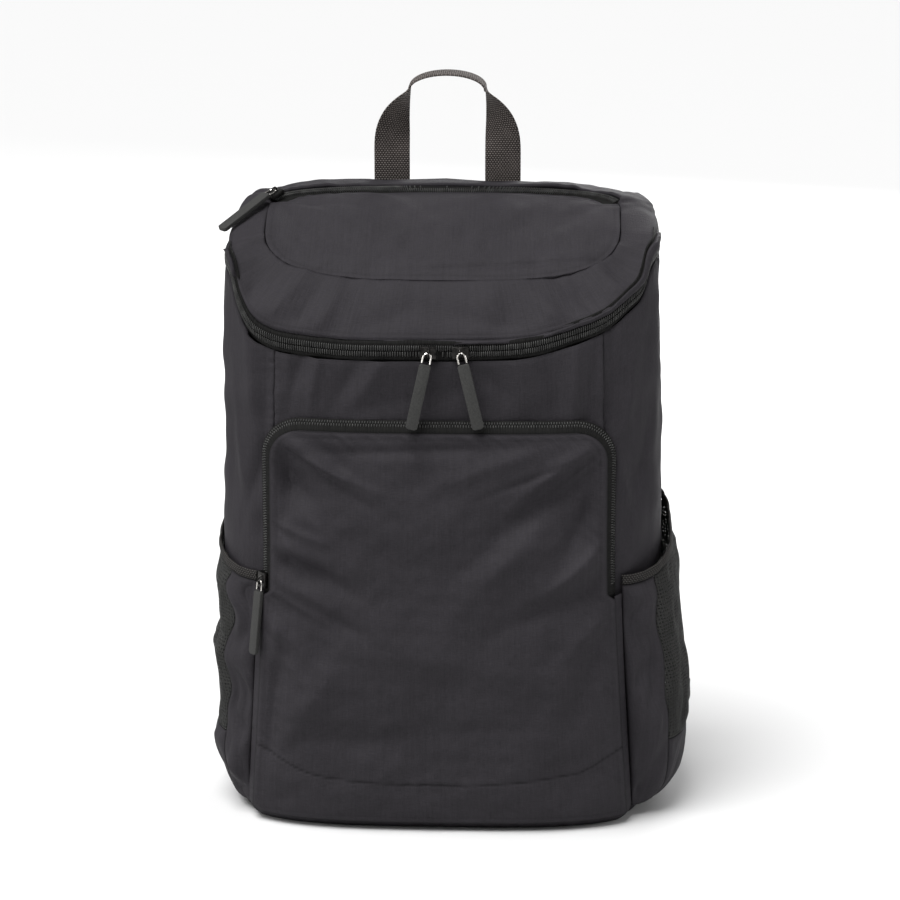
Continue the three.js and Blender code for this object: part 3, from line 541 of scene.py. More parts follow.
# Rows of creases: across from the panel's middle, height, turn, length, width, height of the ridge, bend
wall("front_panel", front_start, front_stop, 130, 130, [
    (-96, 322, 74, 30, 6, -2.6, 0),
    (-84, 318, 80, 26, 5, 2.4, 0),
    (-62, 316, 60, 24, 6, -2.0, 0),
    (-44, 322, 56, 26, 6, 2.0, 0),
    (-14, 306, 12, 40, 7, -1.4, 0),
    (34, 318, 140, 24, 6, -1.4, 0),
    (56, 316, 112, 26, 6, 2.2, 0),
    (76, 312, 100, 28, 6, -2.4, 0),
    (92, 316, 86, 30, 5, 2.6, 0),
    (104, 312, 82, 30, 5, -2.4, 0),
], 11)
wall("side_panel_right", right_start, right_stop, 110, 180, [
    (-80, 322, 88, 54, 6, -2.8, 4),
    (-66, 292, 78, 44, 6, 2.8, 3),
    (-52, 252, 68, 34, 7, -2.6, 0),
    (-68, 244, 104, 30, 6, 2.4, 0),
    (-78, 262, 60, 26, 5, -2.0, 0),
    (-30, 300, 85, 60, 9, 2.2, 0),
    (10, 260, 70, 60, 12, -2.0, 0),
    (40, 300, 100, 70, 12, 1.8, 0),
], 21)
wall("side_panel_left", left_start, left_stop, 110, 180, [
    (68, 322, 96, 50, 7, 2.8, 4),
    (80, 296, 88, 54, 6, -2.4, 0),
    (58, 262, 104, 40, 7, 2.6, 0),
    (72, 244, 70, 30, 6, -2.2, 0),
    (30, 300, 92, 60, 9, 2.2, 0),
    (-10, 260, 110, 60, 12, -2.0, 0),
    (-40, 300, 80, 70, 12, 1.8, 0),
], 31)


def spacer_finish():
    """Knitted spacer mesh: close round holes in offset rows over a darker ground."""
    tree, finish = material("pad_mesh", 0.85, Specular_IOR_Level=0.1)
    hole = net_cells(tree, 420, 0.15).span(0.2, 0.45)
    tone = hole * 0.9 + patches(tree, 0.03) * 0.1
    return finish(tone.blend((0.006, 0.006, 0.0062, 1), (0.026, 0.026, 0.027, 1)), None, hole, 0.0006)


spacer_mesh = spacer_finish()
wall("back_panel", back_start, back_stop, 110, 130, [
    (0, 120, 0, 200, 3.2, -2.2, 0),
    (0, 215, 0, 200, 3.2, -2.2, 0),
    (0, 310, 0, 200, 3.2, -2.2, 0),
    (-52, 190, 90, 160, 3.2, -1.6, 0),
    (52, 190, 90, 160, 3.2, -1.6, 0),
], 41, spacer_mesh, "pad_mesh", 0.5)


# Base: one padded oval panel, its edge turned up a little and sewn to the walls.
def base():
    """Rings of the skin's plan, from the resting face out round its edge and back in over the top."""
    angle = np.linspace(0, 2 * math.pi, 240, endpoint=False)[None, :]
    rise = np.array([0, 0, 0, 0.8, 2.8, 5.4, 7.4, 8, 8, 8])[:, None]
    share = np.array([0.0, 0.5, 0.955, 0.974, 0.984, 0.988, 0.984, 0.975, 0.5, 0.0])[:, None]
    plan = skin(angle, 4.0 + 0 * rise)
    points = np.stack([plan[..., 0] * share, plan[..., 1] * share, rise + 0 * angle], -1)
    rows, columns = points.shape[:2]
    quads = corners(wrapped(np.arange(rows * columns).reshape(rows, columns))).reshape(-1, 4)
    made = solid("base_panel_cloth", points.reshape(-1, 3), quads, points.reshape(-1, 3)[quads][..., :2])
    gather(made)
    return sewn(made, polyester, "polyester", "base_panel")


base()

# Lid: a padded band that rises from the zip over a rounded shoulder, and a middle panel let into it
# with a topstitched seam. The seam is plain round the front and sides, and a zip closes it behind.
lid_rise = 10
lid_pad = 4
lid_cloth = lid_pad - 1
lid_zip_half = 3.5
zip_tilt = 1.8
lid_zip_end = math.radians(12)
lid_panel_width = body_width - 2 * 27
lid_panel_front = body_depth / 2 - 27.5
lid_panel_back = body_depth / 2 - 34.5


def crown(x, y):
    """The lid's height before its shoulder: a quarter sine from the front's zip line to the back."""
    low = zip_height(-math.pi / 2) + main_zip_half
    t = np.clip(y / body_depth + 0.5, 0, 1)
    fall = 9 * t * np.abs(x / (body_width / 2)) ** 3
    return low + (back_height + lid_rise - low) * np.sin(math.pi / 2 * t**0.75) - fall


def lid_point(angle, inward):
    """The lid at an angle and a share inward: 0 at the zip, 0.5 on the panel's seam, 1 at the middle."""
    angle, inward = np.broadcast_arrays(angle, inward)
    edge = zip_height(angle) + zip_half(angle)
    rim = skin(angle, np.minimum(edge, back_height))
    ahead = np.sin(angle) < 0
    n = np.where(ahead, front_squareness, back_squareness)
    to_seam = np.minimum(inward * 2, 1)
    to_middle = np.maximum(inward * 2 - 1, 0)
    panel_depth = np.where(ahead, lid_panel_front, lid_panel_back) / (body_depth / 2)
    share_x = mix(1, lid_panel_width / body_width, to_seam) * (1 - to_middle)
    share_y = mix(1, panel_depth, to_seam) * (1 - to_middle)
    across = (share_x * np.abs(np.cos(angle)) ** (2 / n)) ** n
    deep = (share_y * np.abs(np.sin(angle)) ** (2 / n)) ** n
    reach = (across + deep) ** (1 / n)
    steep = np.maximum(reach - 0.7, 0) / 0.3
    climb = np.maximum(1 - steep**2.4, 0) ** (1 / 2.4)
    x = rim[..., 0] * share_x
    y = rim[..., 1] * share_y
    return np.stack([x, y, mix(edge, crown(x, y), climb)], -1)


def lid_normal(angle, inward):
    """The lid's normal, level at the zip so that the lid's foot stands over the walls."""
    angle, inward = np.broadcast_arrays(angle, inward)
    step = 0.004
    around = lid_point(angle + step, inward) - lid_point(angle - step, inward)
    up = lid_point(angle, np.minimum(inward + step, 1)) - lid_point(angle, np.maximum(inward - step, 0))
    level = unit(skin(angle, back_height, 1.0) - skin(angle, back_height))
    blend = ease(0, 0.12, inward)[..., None]
    middle = ease(0.9, 0.97, inward)[..., None]
    return unit(mix(mix(level, unit(np.cross(around, up)), blend), np.array([0, 0, 1.0]), middle))


def lid(angle, inward, out=0.0):
    """The lid's point at an angle and a share inward, moved out along the lid's normal."""
    return lid_point(angle, inward) + lid_normal(angle, inward) * np.asarray(out, float)[..., None]


def lid_zip_open(angle):
    """1 where the lid's seam holds its zip, 0 where it is plain, with a smooth step between."""
    return ease(math.sin(lid_zip_end), math.sin(lid_zip_end + zip_taper), np.sin(angle))


def lid_seam_half(angle):
    """Half the width of the gap between the lid's band and its middle panel."""
    return mix(half_seam, lid_zip_half, lid_zip_open(angle))


def beside_lid_seam(angle, off):
    """The share inward that lies `off` millimetres inside the lid's seam."""
    return 0.5 + np.where(off < 0, off / (body_depth - 2 * lid_panel_back), off / (2 * lid_panel_back))


def lid_pieces():
    """The band and the middle panel: the lid's surface, drawn in at its edges, with puckers that fade
    away from them, slow ripples and the creases seen at the front and the left corner."""
    angle = np.linspace(0, 2 * math.pi, 420, endpoint=False)[None, :]
    share = np.linspace(0, 1, 34)[:, None]
    inward = (1 - np.cos(share * math.pi / 2)) * beside_lid_seam(angle, -lid_seam_half(angle))
    bare = lid_point(angle, inward)
    run = np.broadcast_to(lengths(bare)[0][None, :], inward.shape)
    up = np.linalg.norm(np.diff(bare, axis=0, prepend=bare[:1]), axis=-1).cumsum(0)
    to_seam = up[-1:] - up
    ring = run * 0 + np.degrees(angle)
    behind = lid_zip_open(angle)
    x, y = bare[..., 0], bare[..., 1]
    out = -1.0 * bell(up, 1.6) - 0.1 * bell(up - 5, 1.2)
    out = out - 0.3 * bell(to_seam, 0.8) * (1 - behind) + zip_tilt * behind * bell(to_seam, 9)
    out = out + 0.35 * ripples(ring, 0 * ring, 51, 9, 10) * (np.exp(-up / 14) + np.exp(-to_seam / 9))
    out = out + 1.0 * ripples(x, y, 52, 90) * ease(0, 20, up)
    out = out + 0.5 * ripples(x, y * 1.4, 53, 30) * ease(0, 12, up)
    out = out - 1.3 * np.exp(-up / 5) + ease(2, 14, up) * folds(x, bare[..., 2], [
        (-128, 372, 30, 26, 7, -2.4, 0),
        (-108, 364, 48, 22, 5, 2.0, 0),
        (-92, 360, 56, 20, 5, -1.8, 0),
        (-74, 362, 60, 20, 5, 1.6, 0),
        (-40, 356, 20, 30, 6, -1.0, 0),
        (30, 356, 165, 34, 6, -1.2, 0),
        (74, 364, 140, 30, 5, 1.8, 0),
        (94, 372, 142, 26, 6, -2.0, 0),
        (112, 382, 138, 24, 5, 1.8, 0),
    ])
    # Painted shade in the lid's seam and along a line 5 mm above the zip, kept as the seam attribute.
    seam = 0.3 * bell(to_seam, 0.6) + 0.35 * bell(up - 5, 0.7)
    band = shell("lid_band_cloth", lid(angle, inward, out), lid_cloth, closed=True, seam=seam)
    sewn(band, polyester, "polyester", "lid_band")

    share = np.linspace(0, 1, 40)[:, None] ** 1.5
    inward = mix(beside_lid_seam(angle, lid_seam_half(angle)), 1, share)
    bare = lid_point(angle, inward)
    x, y = bare[..., 0], bare[..., 1]
    from_seam = np.linalg.norm(np.diff(bare, axis=0, prepend=bare[:1]), axis=-1).cumsum(0)
    out = 0.15 * bell(from_seam, 3.5) * (1 - behind) - zip_tilt * behind * bell(from_seam, 9)
    out = out - 0.2 * bell(from_seam - 4, 1.2)
    out = out + 0.3 * ripples(ring[:1] + 0 * x, 0 * x, 54, 9, 10) * np.exp(-from_seam / 9)
    out = out + (1.1 * ripples(x, y, 55, 80) + 0.45 * ripples(x, y, 56, 26)) * ease(0, 16, from_seam)
    out = out + folds(x, y, [
        (-106, -12, 120, 22, 4, 1.5, 0),
        (-96, -2, 128, 24, 4, -1.3, 0),
        (-84, 6, 140, 26, 4, 1.2, 0),
        (-90, 20, 165, 30, 5, -1.2, 0),
        (60, -38, 4, 60, 1.6, -1.3, 0),
        (50, -34, 4, 60, 4, 1.0, 0),
        (-40, -36, -4, 60, 4, 0.9, 0),
        (90, 6, 40, 28, 6, -1.2, 0),
    ])
    # Painted shade along a line 4 mm inside the lid's seam, kept as the seam attribute.
    seam = 0.3 * bell(from_seam - 4, 0.9)
    points = lid(angle, inward, out)
    plan = np.stack([x, y * 1.25], -1)
    middle = shell("lid_pocket_panel_cloth", points, lid_cloth, closed=True, pole=True, plan=plan, seam=seam)
    sewn(middle, polyester, "polyester", "lid_pocket_panel")


lid_pieces()


# Zips: nylon coil zips. Two woven tapes meet in a narrow slit, and over it lie two rows of close
# ribs, each reaching to one side, that hook into each other. The tapes are sewn under the cloth.
zip_sunk = 1.2
zip_tape_thick = 1.2
zip_sewn_under = 1.5


def tape_finish():
    """Woven tape: fine ribs across it, darker than the bag's cloth."""
    tree, finish = material("zip_tape", 0.8, Specular_IOR_Level=0.12)
    ribs = threads(tree, 0.0006, 0.02)
    tone = (ribs + patches(tree, 0.02) * 0.3).span(0.4, 0.9)
    return finish(tone.blend((0.003, 0.003, 0.0029, 1), (0.011, 0.0108, 0.0103, 1)), None, ribs, 0.0003)


def coil_finish():
    """Dyed nylon coil with a satin shine, a little paler where it is rubbed."""
    tree, finish = material("zip_coil", 0.42, Specular_IOR_Level=0.3)
    worn = patches(tree, 0.004).span(0.35, 0.75)
    return finish(worn.blend((0.018, 0.018, 0.0175, 1), (0.050, 0.050, 0.048, 1)), worn.span(0, 1, 0.5, 0.36))


zip_tape = tape_finish()
zip_coil = coil_finish()


def spaced(path, pitch):
    """Places every `pitch` along a path of points: how far each lies along the path's list."""
    run = np.concatenate([[0], np.cumsum(np.linalg.norm(np.diff(path, axis=0), axis=-1))])
    count = int(run[-1] // pitch)
    return np.interp((np.arange(count) + 0.5) * (run[-1] / count), run, np.arange(len(path)))


def read(path, at):
    """The points of a path at places that lie between the list's own."""
    numbers = np.arange(len(path))
    return np.stack([np.interp(at, numbers, path[:, axis]) for axis in range(3)], -1)


def repeated(name, places, along, across, off, part, quads):
    """Copies of one small part, its points given as (along, across, off), one at each place."""
    points = places[:, None] + part[None, :, :1] * along[:, None]
    points = points + part[None, :, 1:2] * across[:, None] + part[None, :, 2:] * off[:, None]
    count = len(part)
    every = (quads[None] + (np.arange(len(places)) * count)[:, None, None]).reshape(-1, 4)
    vertices = points.reshape(-1, 3)
    return solid(name, vertices, every, vertices[every][..., :2])


def bar(stations, section):
    """A small closed bar: a section of four points carried through stations of (along, up, size),
    with a face at each end. Points are (along, across, off)."""
    rings = np.array([[(a, size * p, up + size * q) for p, q in section] for a, up, size in stations])
    count = len(section)
    numbers = np.arange(len(stations) * count).reshape(len(stations), count)
    quads = corners(wrapped(numbers)).reshape(-1, 4)
    return rings.reshape(-1, 3), np.concatenate([quads, [numbers[0, ::-1], numbers[-1]]])


rib, rib_quads = bar(
    [(0.1, 0.3, 0.6), (0.6, 0.8, 1.05), (3.0, 0.6, 1.05), (3.9, -0.1, 0.7)],
    [(-0.44, 0.0), (-0.26, 0.6), (0.26, 0.6), (0.44, 0.0)],
)


def coil(name, path, across, off, node, reach=1.0, pitch=1.5):
    """Two rows of ribs along a path, half a pitch apart, each reaching to its own side."""
    at = spaced(path, pitch)
    along = unit(np.gradient(path, axis=0))
    rows = []
    for side, shift in ((1, 0.0), (-1, 0.5)):
        spots = np.clip(at + shift * (at[1] - at[0]), 0, len(path) - 1)
        to_side = unit(read(across, spots)) * side
        rows.append((read(path, spots), to_side, unit(read(along, spots)), unit(read(off, spots))))
    places, side_way, way, up = (np.concatenate(parts) for parts in zip(*rows))
    made = repeated(name, places, side_way, way, up, rib * np.array([reach, 1, 1]), rib_quads)
    return sewn(made, zip_coil, "zip_coil", node)


def zip_strips(name, beside, half, angle, reach=1.0):
    """The two tapes of a zip and its coil. beside(angle, share, out) is a point on the zip, where
    share runs from -1 to 1 across its opening."""
    edge = 1 + zip_sewn_under / half
    hair = seam_gap / 2 / half
    for part, low, high in (("tape_lower", -edge, -hair), ("tape_upper", hair, edge)):
        share = np.linspace(low, high, 10)[:, None]
        sunk = zip_sunk + 1.8 * ease(0.8, 1.05, np.abs(share))
        made = shell(f"{name}_{part}_cloth", beside(angle[None, :], share, -sunk), zip_tape_thick)
        sewn(made, zip_tape, "zip_tape", f"{name}_{part}")
    flat = np.zeros(len(angle))
    path = beside(angle, flat, flat - zip_sunk + 0.15)
    above = beside(angle, flat + 0.3, flat - zip_sunk)
    across = unit(above - beside(angle, flat - 0.3, flat - zip_sunk))
    off = unit(beside(angle, flat, flat + 1.0) - beside(angle, flat, flat))
    coil(f"{name}_coil", path, across, off, f"{name}_teeth", reach)


def main_zip_point(angle, share, out):
    """A point on the main zip: the skin, at a share of the half opening from the zip's middle line."""
    return skin(angle, zip_height(angle) + share * zip_half(angle), out)


def lid_zip_point(angle, share, out):
    """The lid's zip leans towards the front: its rear tape lies higher than its front one."""
    angle, share, out = np.broadcast_arrays(angle, share, np.asarray(out, float))
    lean = -zip_tilt * share * lid_zip_open(angle)
    return lid(angle, beside_lid_seam(angle, share * lid_seam_half(angle)), out + lean)


main_stop = zip_end + zip_taper * 0.4
lid_stop = lid_zip_end + zip_taper * 0.8
main_angles = np.linspace(-math.pi - main_stop, main_stop, 700)
lid_angles = np.linspace(lid_stop, math.pi - lid_stop, 400)
zip_strips("main_zip", main_zip_point, main_zip_half, main_angles)
zip_strips("lid_zip", lid_zip_point, lid_zip_half, lid_angles, 0.7)

# Front pocket: a face of single cloth let into a zip that arches over it, with a narrow gusset of
# the same cloth round its foot. Its upper corners sag into folds, and a curved seam crosses its foot.
pocket_top = back_height - 129
pocket_half = body_width / 2 - 33
pocket_foot_half = body_width / 2 - 22
pocket_corner = 27
pocket_foot_corner = 7
pocket_bottom = 5
pocket_zip_foot = 168
pocket_zip_band = 8
pocket_depth = 8
pocket_bulge = 9
single_cloth = 1.3
# Share of the bulge, by the share of the pocket's height
pocket_fullness = [(0, 0.3), (0.12, 0.75), (0.4, 1), (0.7, 0.85), (0.9, 0.35), (1, 0)]
foot_turn_in = 1.6
face_cloth = 0.9
edge_cloth = 1.0
# Height of the curved seam over the pocket's foot, by the distance from the middle
pocket_seam = [
    (-122, 58),
    (-109, 52),
    (-88, 42),
    (-60, 38),
    (1, 36),
    (56, 39),
    (94, 44),
    (111, 53),
    (125, 60),
]


def pocket_half_at(height):
    """Half the pocket's width at a height: its sides lean in smoothly from the foot to the zip."""
    low = pocket_bottom - 0.35 * pocket_zip_foot
    high = 1.25 * pocket_zip_foot
    return mix(pocket_foot_half, pocket_half, ease(low, high, height))


arch_leg = pocket_top - pocket_corner - pocket_zip_foot
arch_bend = math.pi / 2 * pocket_corner
arch_top = 2 * (pocket_half - pocket_corner)
arch_length = 2 * arch_leg + 2 * arch_bend + arch_top


def corner_path(run, leg, radius, inset, spring, flat_half, end_height, start, way):
    """A leg, a round corner and half of a level run, as (distance from the middle, height)."""
    turn = np.clip((run - leg) / radius, 0, math.pi / 2)
    half = pocket_half_at(spring) - radius
    level = np.clip((run - leg - radius * math.pi / 2) / flat_half, 0, 1)
    on_leg = run < leg
    x = np.where(on_leg, pocket_half_at(start + way * run) - inset, half + (radius - inset) * np.cos(turn))
    z = np.where(on_leg, start + way * run, spring + way * (radius - inset) * np.sin(turn))
    after = run > leg + radius * math.pi / 2
    return np.where(after, half * (1 - level), x), np.where(after, end_height - way * inset, z)


def arch(s, inset):
    """The zip's path from its left foot (0) over the top to its right foot (1)."""
    s, inset = np.broadcast_arrays(s, inset)
    run = np.minimum(s, 1 - s) * arch_length
    spring = pocket_top - pocket_corner
    top_half = arch_top / 2
    start = pocket_zip_foot
    x, z = corner_path(run, arch_leg, pocket_corner, inset, spring, top_half, pocket_top, start, 1)
    return np.where(s < 0.5, -x, x), z


skirt_leg = pocket_zip_foot - seam_gap - pocket_bottom - pocket_foot_corner
skirt_length = 2 * (skirt_leg + math.pi / 2 * pocket_foot_corner + pocket_foot_half - pocket_foot_corner)


def skirt(s, inset):
    """The gusset's path from the right foot of the zip round the bottom to its left foot."""
    s, inset = np.broadcast_arrays(s, inset)
    run = np.minimum(s, 1 - s) * skirt_length
    spring = pocket_bottom + pocket_foot_corner
    flat = skirt_length / 2 - skirt_leg - math.pi / 2 * pocket_foot_corner
    start = pocket_zip_foot - seam_gap
    x, z = corner_path(run, skirt_leg, pocket_foot_corner, inset, spring, flat, pocket_bottom, start, -1)
    return np.where(s < 0.5, x, -x), z


def in_front(x, height, out=0.0):
    """The point of the skin's front at a distance from the middle and a height, moved out."""
    return skin(angle_at(x, height), height, out)


def pocket_out(x, height):
    """How far the pocket's face stands off the walls, before its folds."""
    up = (height - pocket_bottom) / (pocket_top - pocket_bottom)
    across = np.maximum(1 - (x / pocket_half_at(height)) ** 2, 0)
    return pocket_depth + across**0.6 * pocket_bulge * curve(pocket_fullness, up)


def face_grid(columns, rows, inset):
    """The face's heights and distances from the middle: rows gather at its rounded corners."""
    v = np.linspace(0, 1, rows)[:, None]
    foot_rows = 0.09
    head_rows = 0.86
    foot = 5.0
    low = pocket_bottom + foot_turn_in + foot
    high = pocket_top - pocket_corner
    turn_low = math.pi / 2 * np.clip(v / foot_rows, 0, 1)
    turn_high = math.pi / 2 * np.clip((v - head_rows) / (1 - head_rows), 0, 1)
    head = pocket_corner - inset
    between = mix(low, high, (v - foot_rows) / (head_rows - foot_rows))
    height = np.where(v < foot_rows, low - foot * np.cos(turn_low), between)
    height = np.where(v > head_rows, high + head * np.sin(turn_high), height)
    rounding = foot * (1 - np.sin(turn_low)) + head * (1 - np.cos(turn_high))
    half = pocket_half_at(np.clip(height, low, high)) - inset - rounding
    half = half + (inset - foot_turn_in) * ease(pocket_zip_foot + 3, pocket_zip_foot - 3, height)
    u = np.linspace(-1, 1, columns)[None, :]
    u = np.sign(u) * (1 - (1 - np.abs(u)) ** 1.15)
    return half * u, height + 0 * u, half


def pocket_face():
    """The face: the wall's front moved out by the pocket's fullness, drawn in at its edge, with its
    folds, slow ripples, puckers along the edge, and the curved seam over its foot."""
    x, height, half = face_grid(190, 220, pocket_zip_band - 1)
    side = half - np.abs(x)
    top = pocket_top - pocket_zip_band + 1 - height
    foot = height - pocket_bottom - foot_turn_in
    rim = np.minimum(np.minimum(side, top), foot)
    inside = ease(0, 13, rim)
    line = height - curve(pocket_seam, x)
    out = pocket_out(x, height)
    out = out - 0.5 * bell(rim, 1.3) - 0.12 * bell(rim - 4.5, 1.2)
    out = out + 1.8 * inside * folds(x, height, [
        (-74, 259, -26, 32, 3, 1.5, 2),
        (-66, 248, -34, 26, 3, -1.2, 0),
        (-98, 216, -20, 26, 3, 1.4, 0),
        (-102, 192, -36, 22, 3, -1.2, 0),
        (-94, 163, -30, 28, 3, 1.3, 0),
        (-100, 120, -50, 26, 3, 1.0, 0),
        (94, 256, 40, 26, 3, 1.5, 0),
        (64, 254, 22, 34, 3, -1.2, 0),
        (100, 200, 44, 26, 3, 1.2, 0),
        (-98, 246, -62, 30, 11, -5.5, 3),
        (-76, 262, -36, 40, 6, 3.4, 2),
        (-56, 250, -40, 30, 8, -2.6, 0),
        (-112, 226, -70, 24, 7, -3.0, 0),
        (-84, 224, -52, 22, 6, 2.6, 0),
        (-104, 204, -24, 30, 7, 3.6, 0),
        (-86, 190, -30, 36, 7, -3.2, 0),
        (-92, 172, -28, 38, 7, 3.0, 0),
        (-70, 156, -34, 40, 9, -2.2, 0),
        (-104, 142, -40, 28, 7, 2.4, 0),
        (-36, 232, -58, 46, 12, 1.8, 0),
        (-8, 262, -66, 34, 9, -1.6, 0),
        (84, 262, 34, 34, 6, 3.2, -2),
        (72, 236, 40, 46, 13, -4.8, 0),
        (98, 226, 62, 34, 9, -3.8, 0),
        (52, 206, 48, 46, 11, 2.4, 0),
        (92, 188, 30, 34, 8, 2.8, 0),
        (80, 164, 24, 42, 9, -2.4, 0),
        (102, 148, 50, 34, 7, 2.0, 0),
        (100, 112, 74, 44, 8, -2.2, 0),
        (-108, 100, 80, 44, 7, -2.0, 0),
        (-88, 88, 60, 40, 10, 1.6, 0),
        (-20, 272, 3, 70, 5, -1.4, 0),
        (36, 262, 20, 40, 7, 1.6, 0),
        (-30, 70, 6, 90, 10, -1.5, 0),
        (40, 118, -14, 90, 15, 1.6, 0),
    ])
    slow = 1.2 * ripples(x, height, 61, 90) + 0.7 * ripples(x, height, 62, 34)
    out = out + inside * (slow + 0.25 * ripples(x, height, 66, 14))
    puckers = 0.5 * ripples(x + height, 0 * x, 63, 9, 10) * ease(0.5, 5, rim)
    out = out + puckers * np.exp(-np.maximum(rim - 3, 0) / 9)
    out = out - 0.7 * bell(line, 0.7) + 0.5 * ease(0, -14, line)
    out = out + 0.35 * ripples(x, 0 * x, 64, 10, 8) * np.exp(-np.abs(line) / 8)
    # Painted shade along the curved seam, round the face's edge and along a line 4.5 mm inside it, kept as
    # the seam attribute.
    seam = bell(line, 0.7) + bell(rim, 0.9) + 0.25 * bell(rim - 4.5, 0.8)
    made = shell("front_pocket_face", in_front(x, height, out), face_cloth, seam=seam)
    sewn(made, polyester, "polyester", "front_pocket_panel")


pocket_face()


def arch_point(s, v, out=0.0):
    """A point on the pocket's zip, from the face's edge (v = 0) down to the walls (v = 1)."""
    x, height = arch(s, mix(pocket_zip_band, 0, v))
    lift = mix(pocket_depth - single_cloth - seam_gap, 1.2 + seam_gap, v**1.5)
    return in_front(x, height, lift + out)


def pocket_edges():
    """The zip's tape and coil over the pocket, and the gusset round its foot: strips that fall from the
    face's edge to the walls along the arch and along the skirt."""
    s = np.linspace(0, 1, 420)
    v = np.linspace(0, 1, 9)[:, None]
    tape = shell("front_zip_tape_cloth", arch_point(s[None, ::-1], v), edge_cloth)
    sewn(tape, zip_tape, "zip_tape", "front_zip_tape")
    inner = s[8:-8]
    path = arch_point(inner, 0.725 + 0 * inner, 0.35)
    across = unit(arch_point(inner, 0.75 + 0 * inner) - arch_point(inner, 0.7 + 0 * inner))
    off = unit(np.cross(across, np.gradient(path, axis=0)))
    off = off * np.sign((off * np.array([0, -1.0, 0])).sum(-1, keepdims=True))
    coil("front_zip_coil", path, across, off, "front_zip_teeth", 0.6, 1.8)

    s = np.linspace(0, 1, 420)[None, :]
    v = np.linspace(0, 1, 10)[:, None]
    x, height = skirt(s, mix(2.0, -4.0, v))
    lift = mix(pocket_depth - single_cloth - seam_gap, single_cloth + seam_gap, v)
    lift = lift + 0.3 * ripples(s * skirt_length, 0 * s, 65, 12, 8) * np.sin(math.pi * v)
    # Painted shade along both sewn edges of the gusset, kept as the seam attribute.
    seam = bell(v, 0.1) + bell(1 - v, 0.1) + 0 * s
    points = in_front(x, np.maximum(height, 1.0), lift)[:, ::-1]
    made = shell("front_pocket_gusset_cloth", points, edge_cloth, seam=seam[:, ::-1])
    sewn(made, polyester, "polyester", "front_pocket_gusset")


pocket_edges()

# Side pockets: a cloth front part, a panel of open net behind it and a cloth foot, gathered at the top
# by a folded binding. The right one stands open as if it had held a bottle, and the left one lies flat.
side_pocket_setback = 5
side_pocket_front = 174
side_pocket_back = 206
side_pocket_bottom = 9
side_pocket_seam = 58
side_mesh_start = 0.2
binding_height = 7
binding_thick = 2.2
side_cloth = 0.8
binding_cloth_thick = 1.8
# Height, reach and depth of the three lobes that the flat pocket's slack hangs in
flat_pocket_lobes = [(44, 19, 4.5), (113, 11, 4.0), (160, 10, 2.5)]
# Share of the bulge, by the share of the pocket's height
pocket_bag = [(0, 0.35), (0.1, 0.85), (0.28, 1), (0.5, 0.95), (0.75, 0.62), (1, 0.3)]


def net_finish():
    """Open knitted net: round holes in offset rows, cut out of the cloth by its alpha."""
    tree, finish = material("net", 0.8, Specular_IOR_Level=0.1)
    cells = net_cells(tree, 400, 0.2)
    thread_mask = cells.span(0.2, 0.3, 0.3, 1.0)
    color = patches(tree, 0.02).blend((0.016, 0.016, 0.0155, 1), (0.033, 0.033, 0.032, 1))
    return finish(color, None, cells, 0.0004, Alpha=thread_mask)


def webbing_finish(name, dark, light):
    """Coarse woven webbing: small humps in offset rows, brownish black, paler on each hump. A hump is
    the product of two cosines, and each second row is moved by half a hump."""
    hump_wide = 0.002
    hump_long = 0.00145
    tree, finish = material(name, 0.8, Specular_IOR_Level=0.12)
    place = tree.node("ShaderNodeUVMap", {"uv_map": "cloth"})
    across = tree.node("ShaderNodeSeparateXYZ", None, {"Vector": place}) * (1 / hump_wide)
    along = tree.node("ShaderNodeSeparateXYZ", None, {"Vector": place}, 1) * (1 / hump_long)
    step = along.math("FLOOR").math("MODULO", 2.0) * 0.5
    hump = ((across + step) * (2 * math.pi)).math("COSINE") * 0.5 + 0.5
    rise = (along * (2 * math.pi)).math("COSINE") * -0.5 + 0.5
    weave = hump * rise
    color = (weave * 0.9 + patches(tree, 0.01) * 0.15).blend(dark, light)
    return finish(color, None, weave, 0.0005)


net = net_finish()
webbing_cloth = webbing_finish("webbing", (0.008, 0.0072, 0.0067, 1), (0.24, 0.21, 0.195, 1))
binding_cloth = webbing_finish("binding", (0.006, 0.0058, 0.0056, 1), (0.075, 0.07, 0.067, 1))


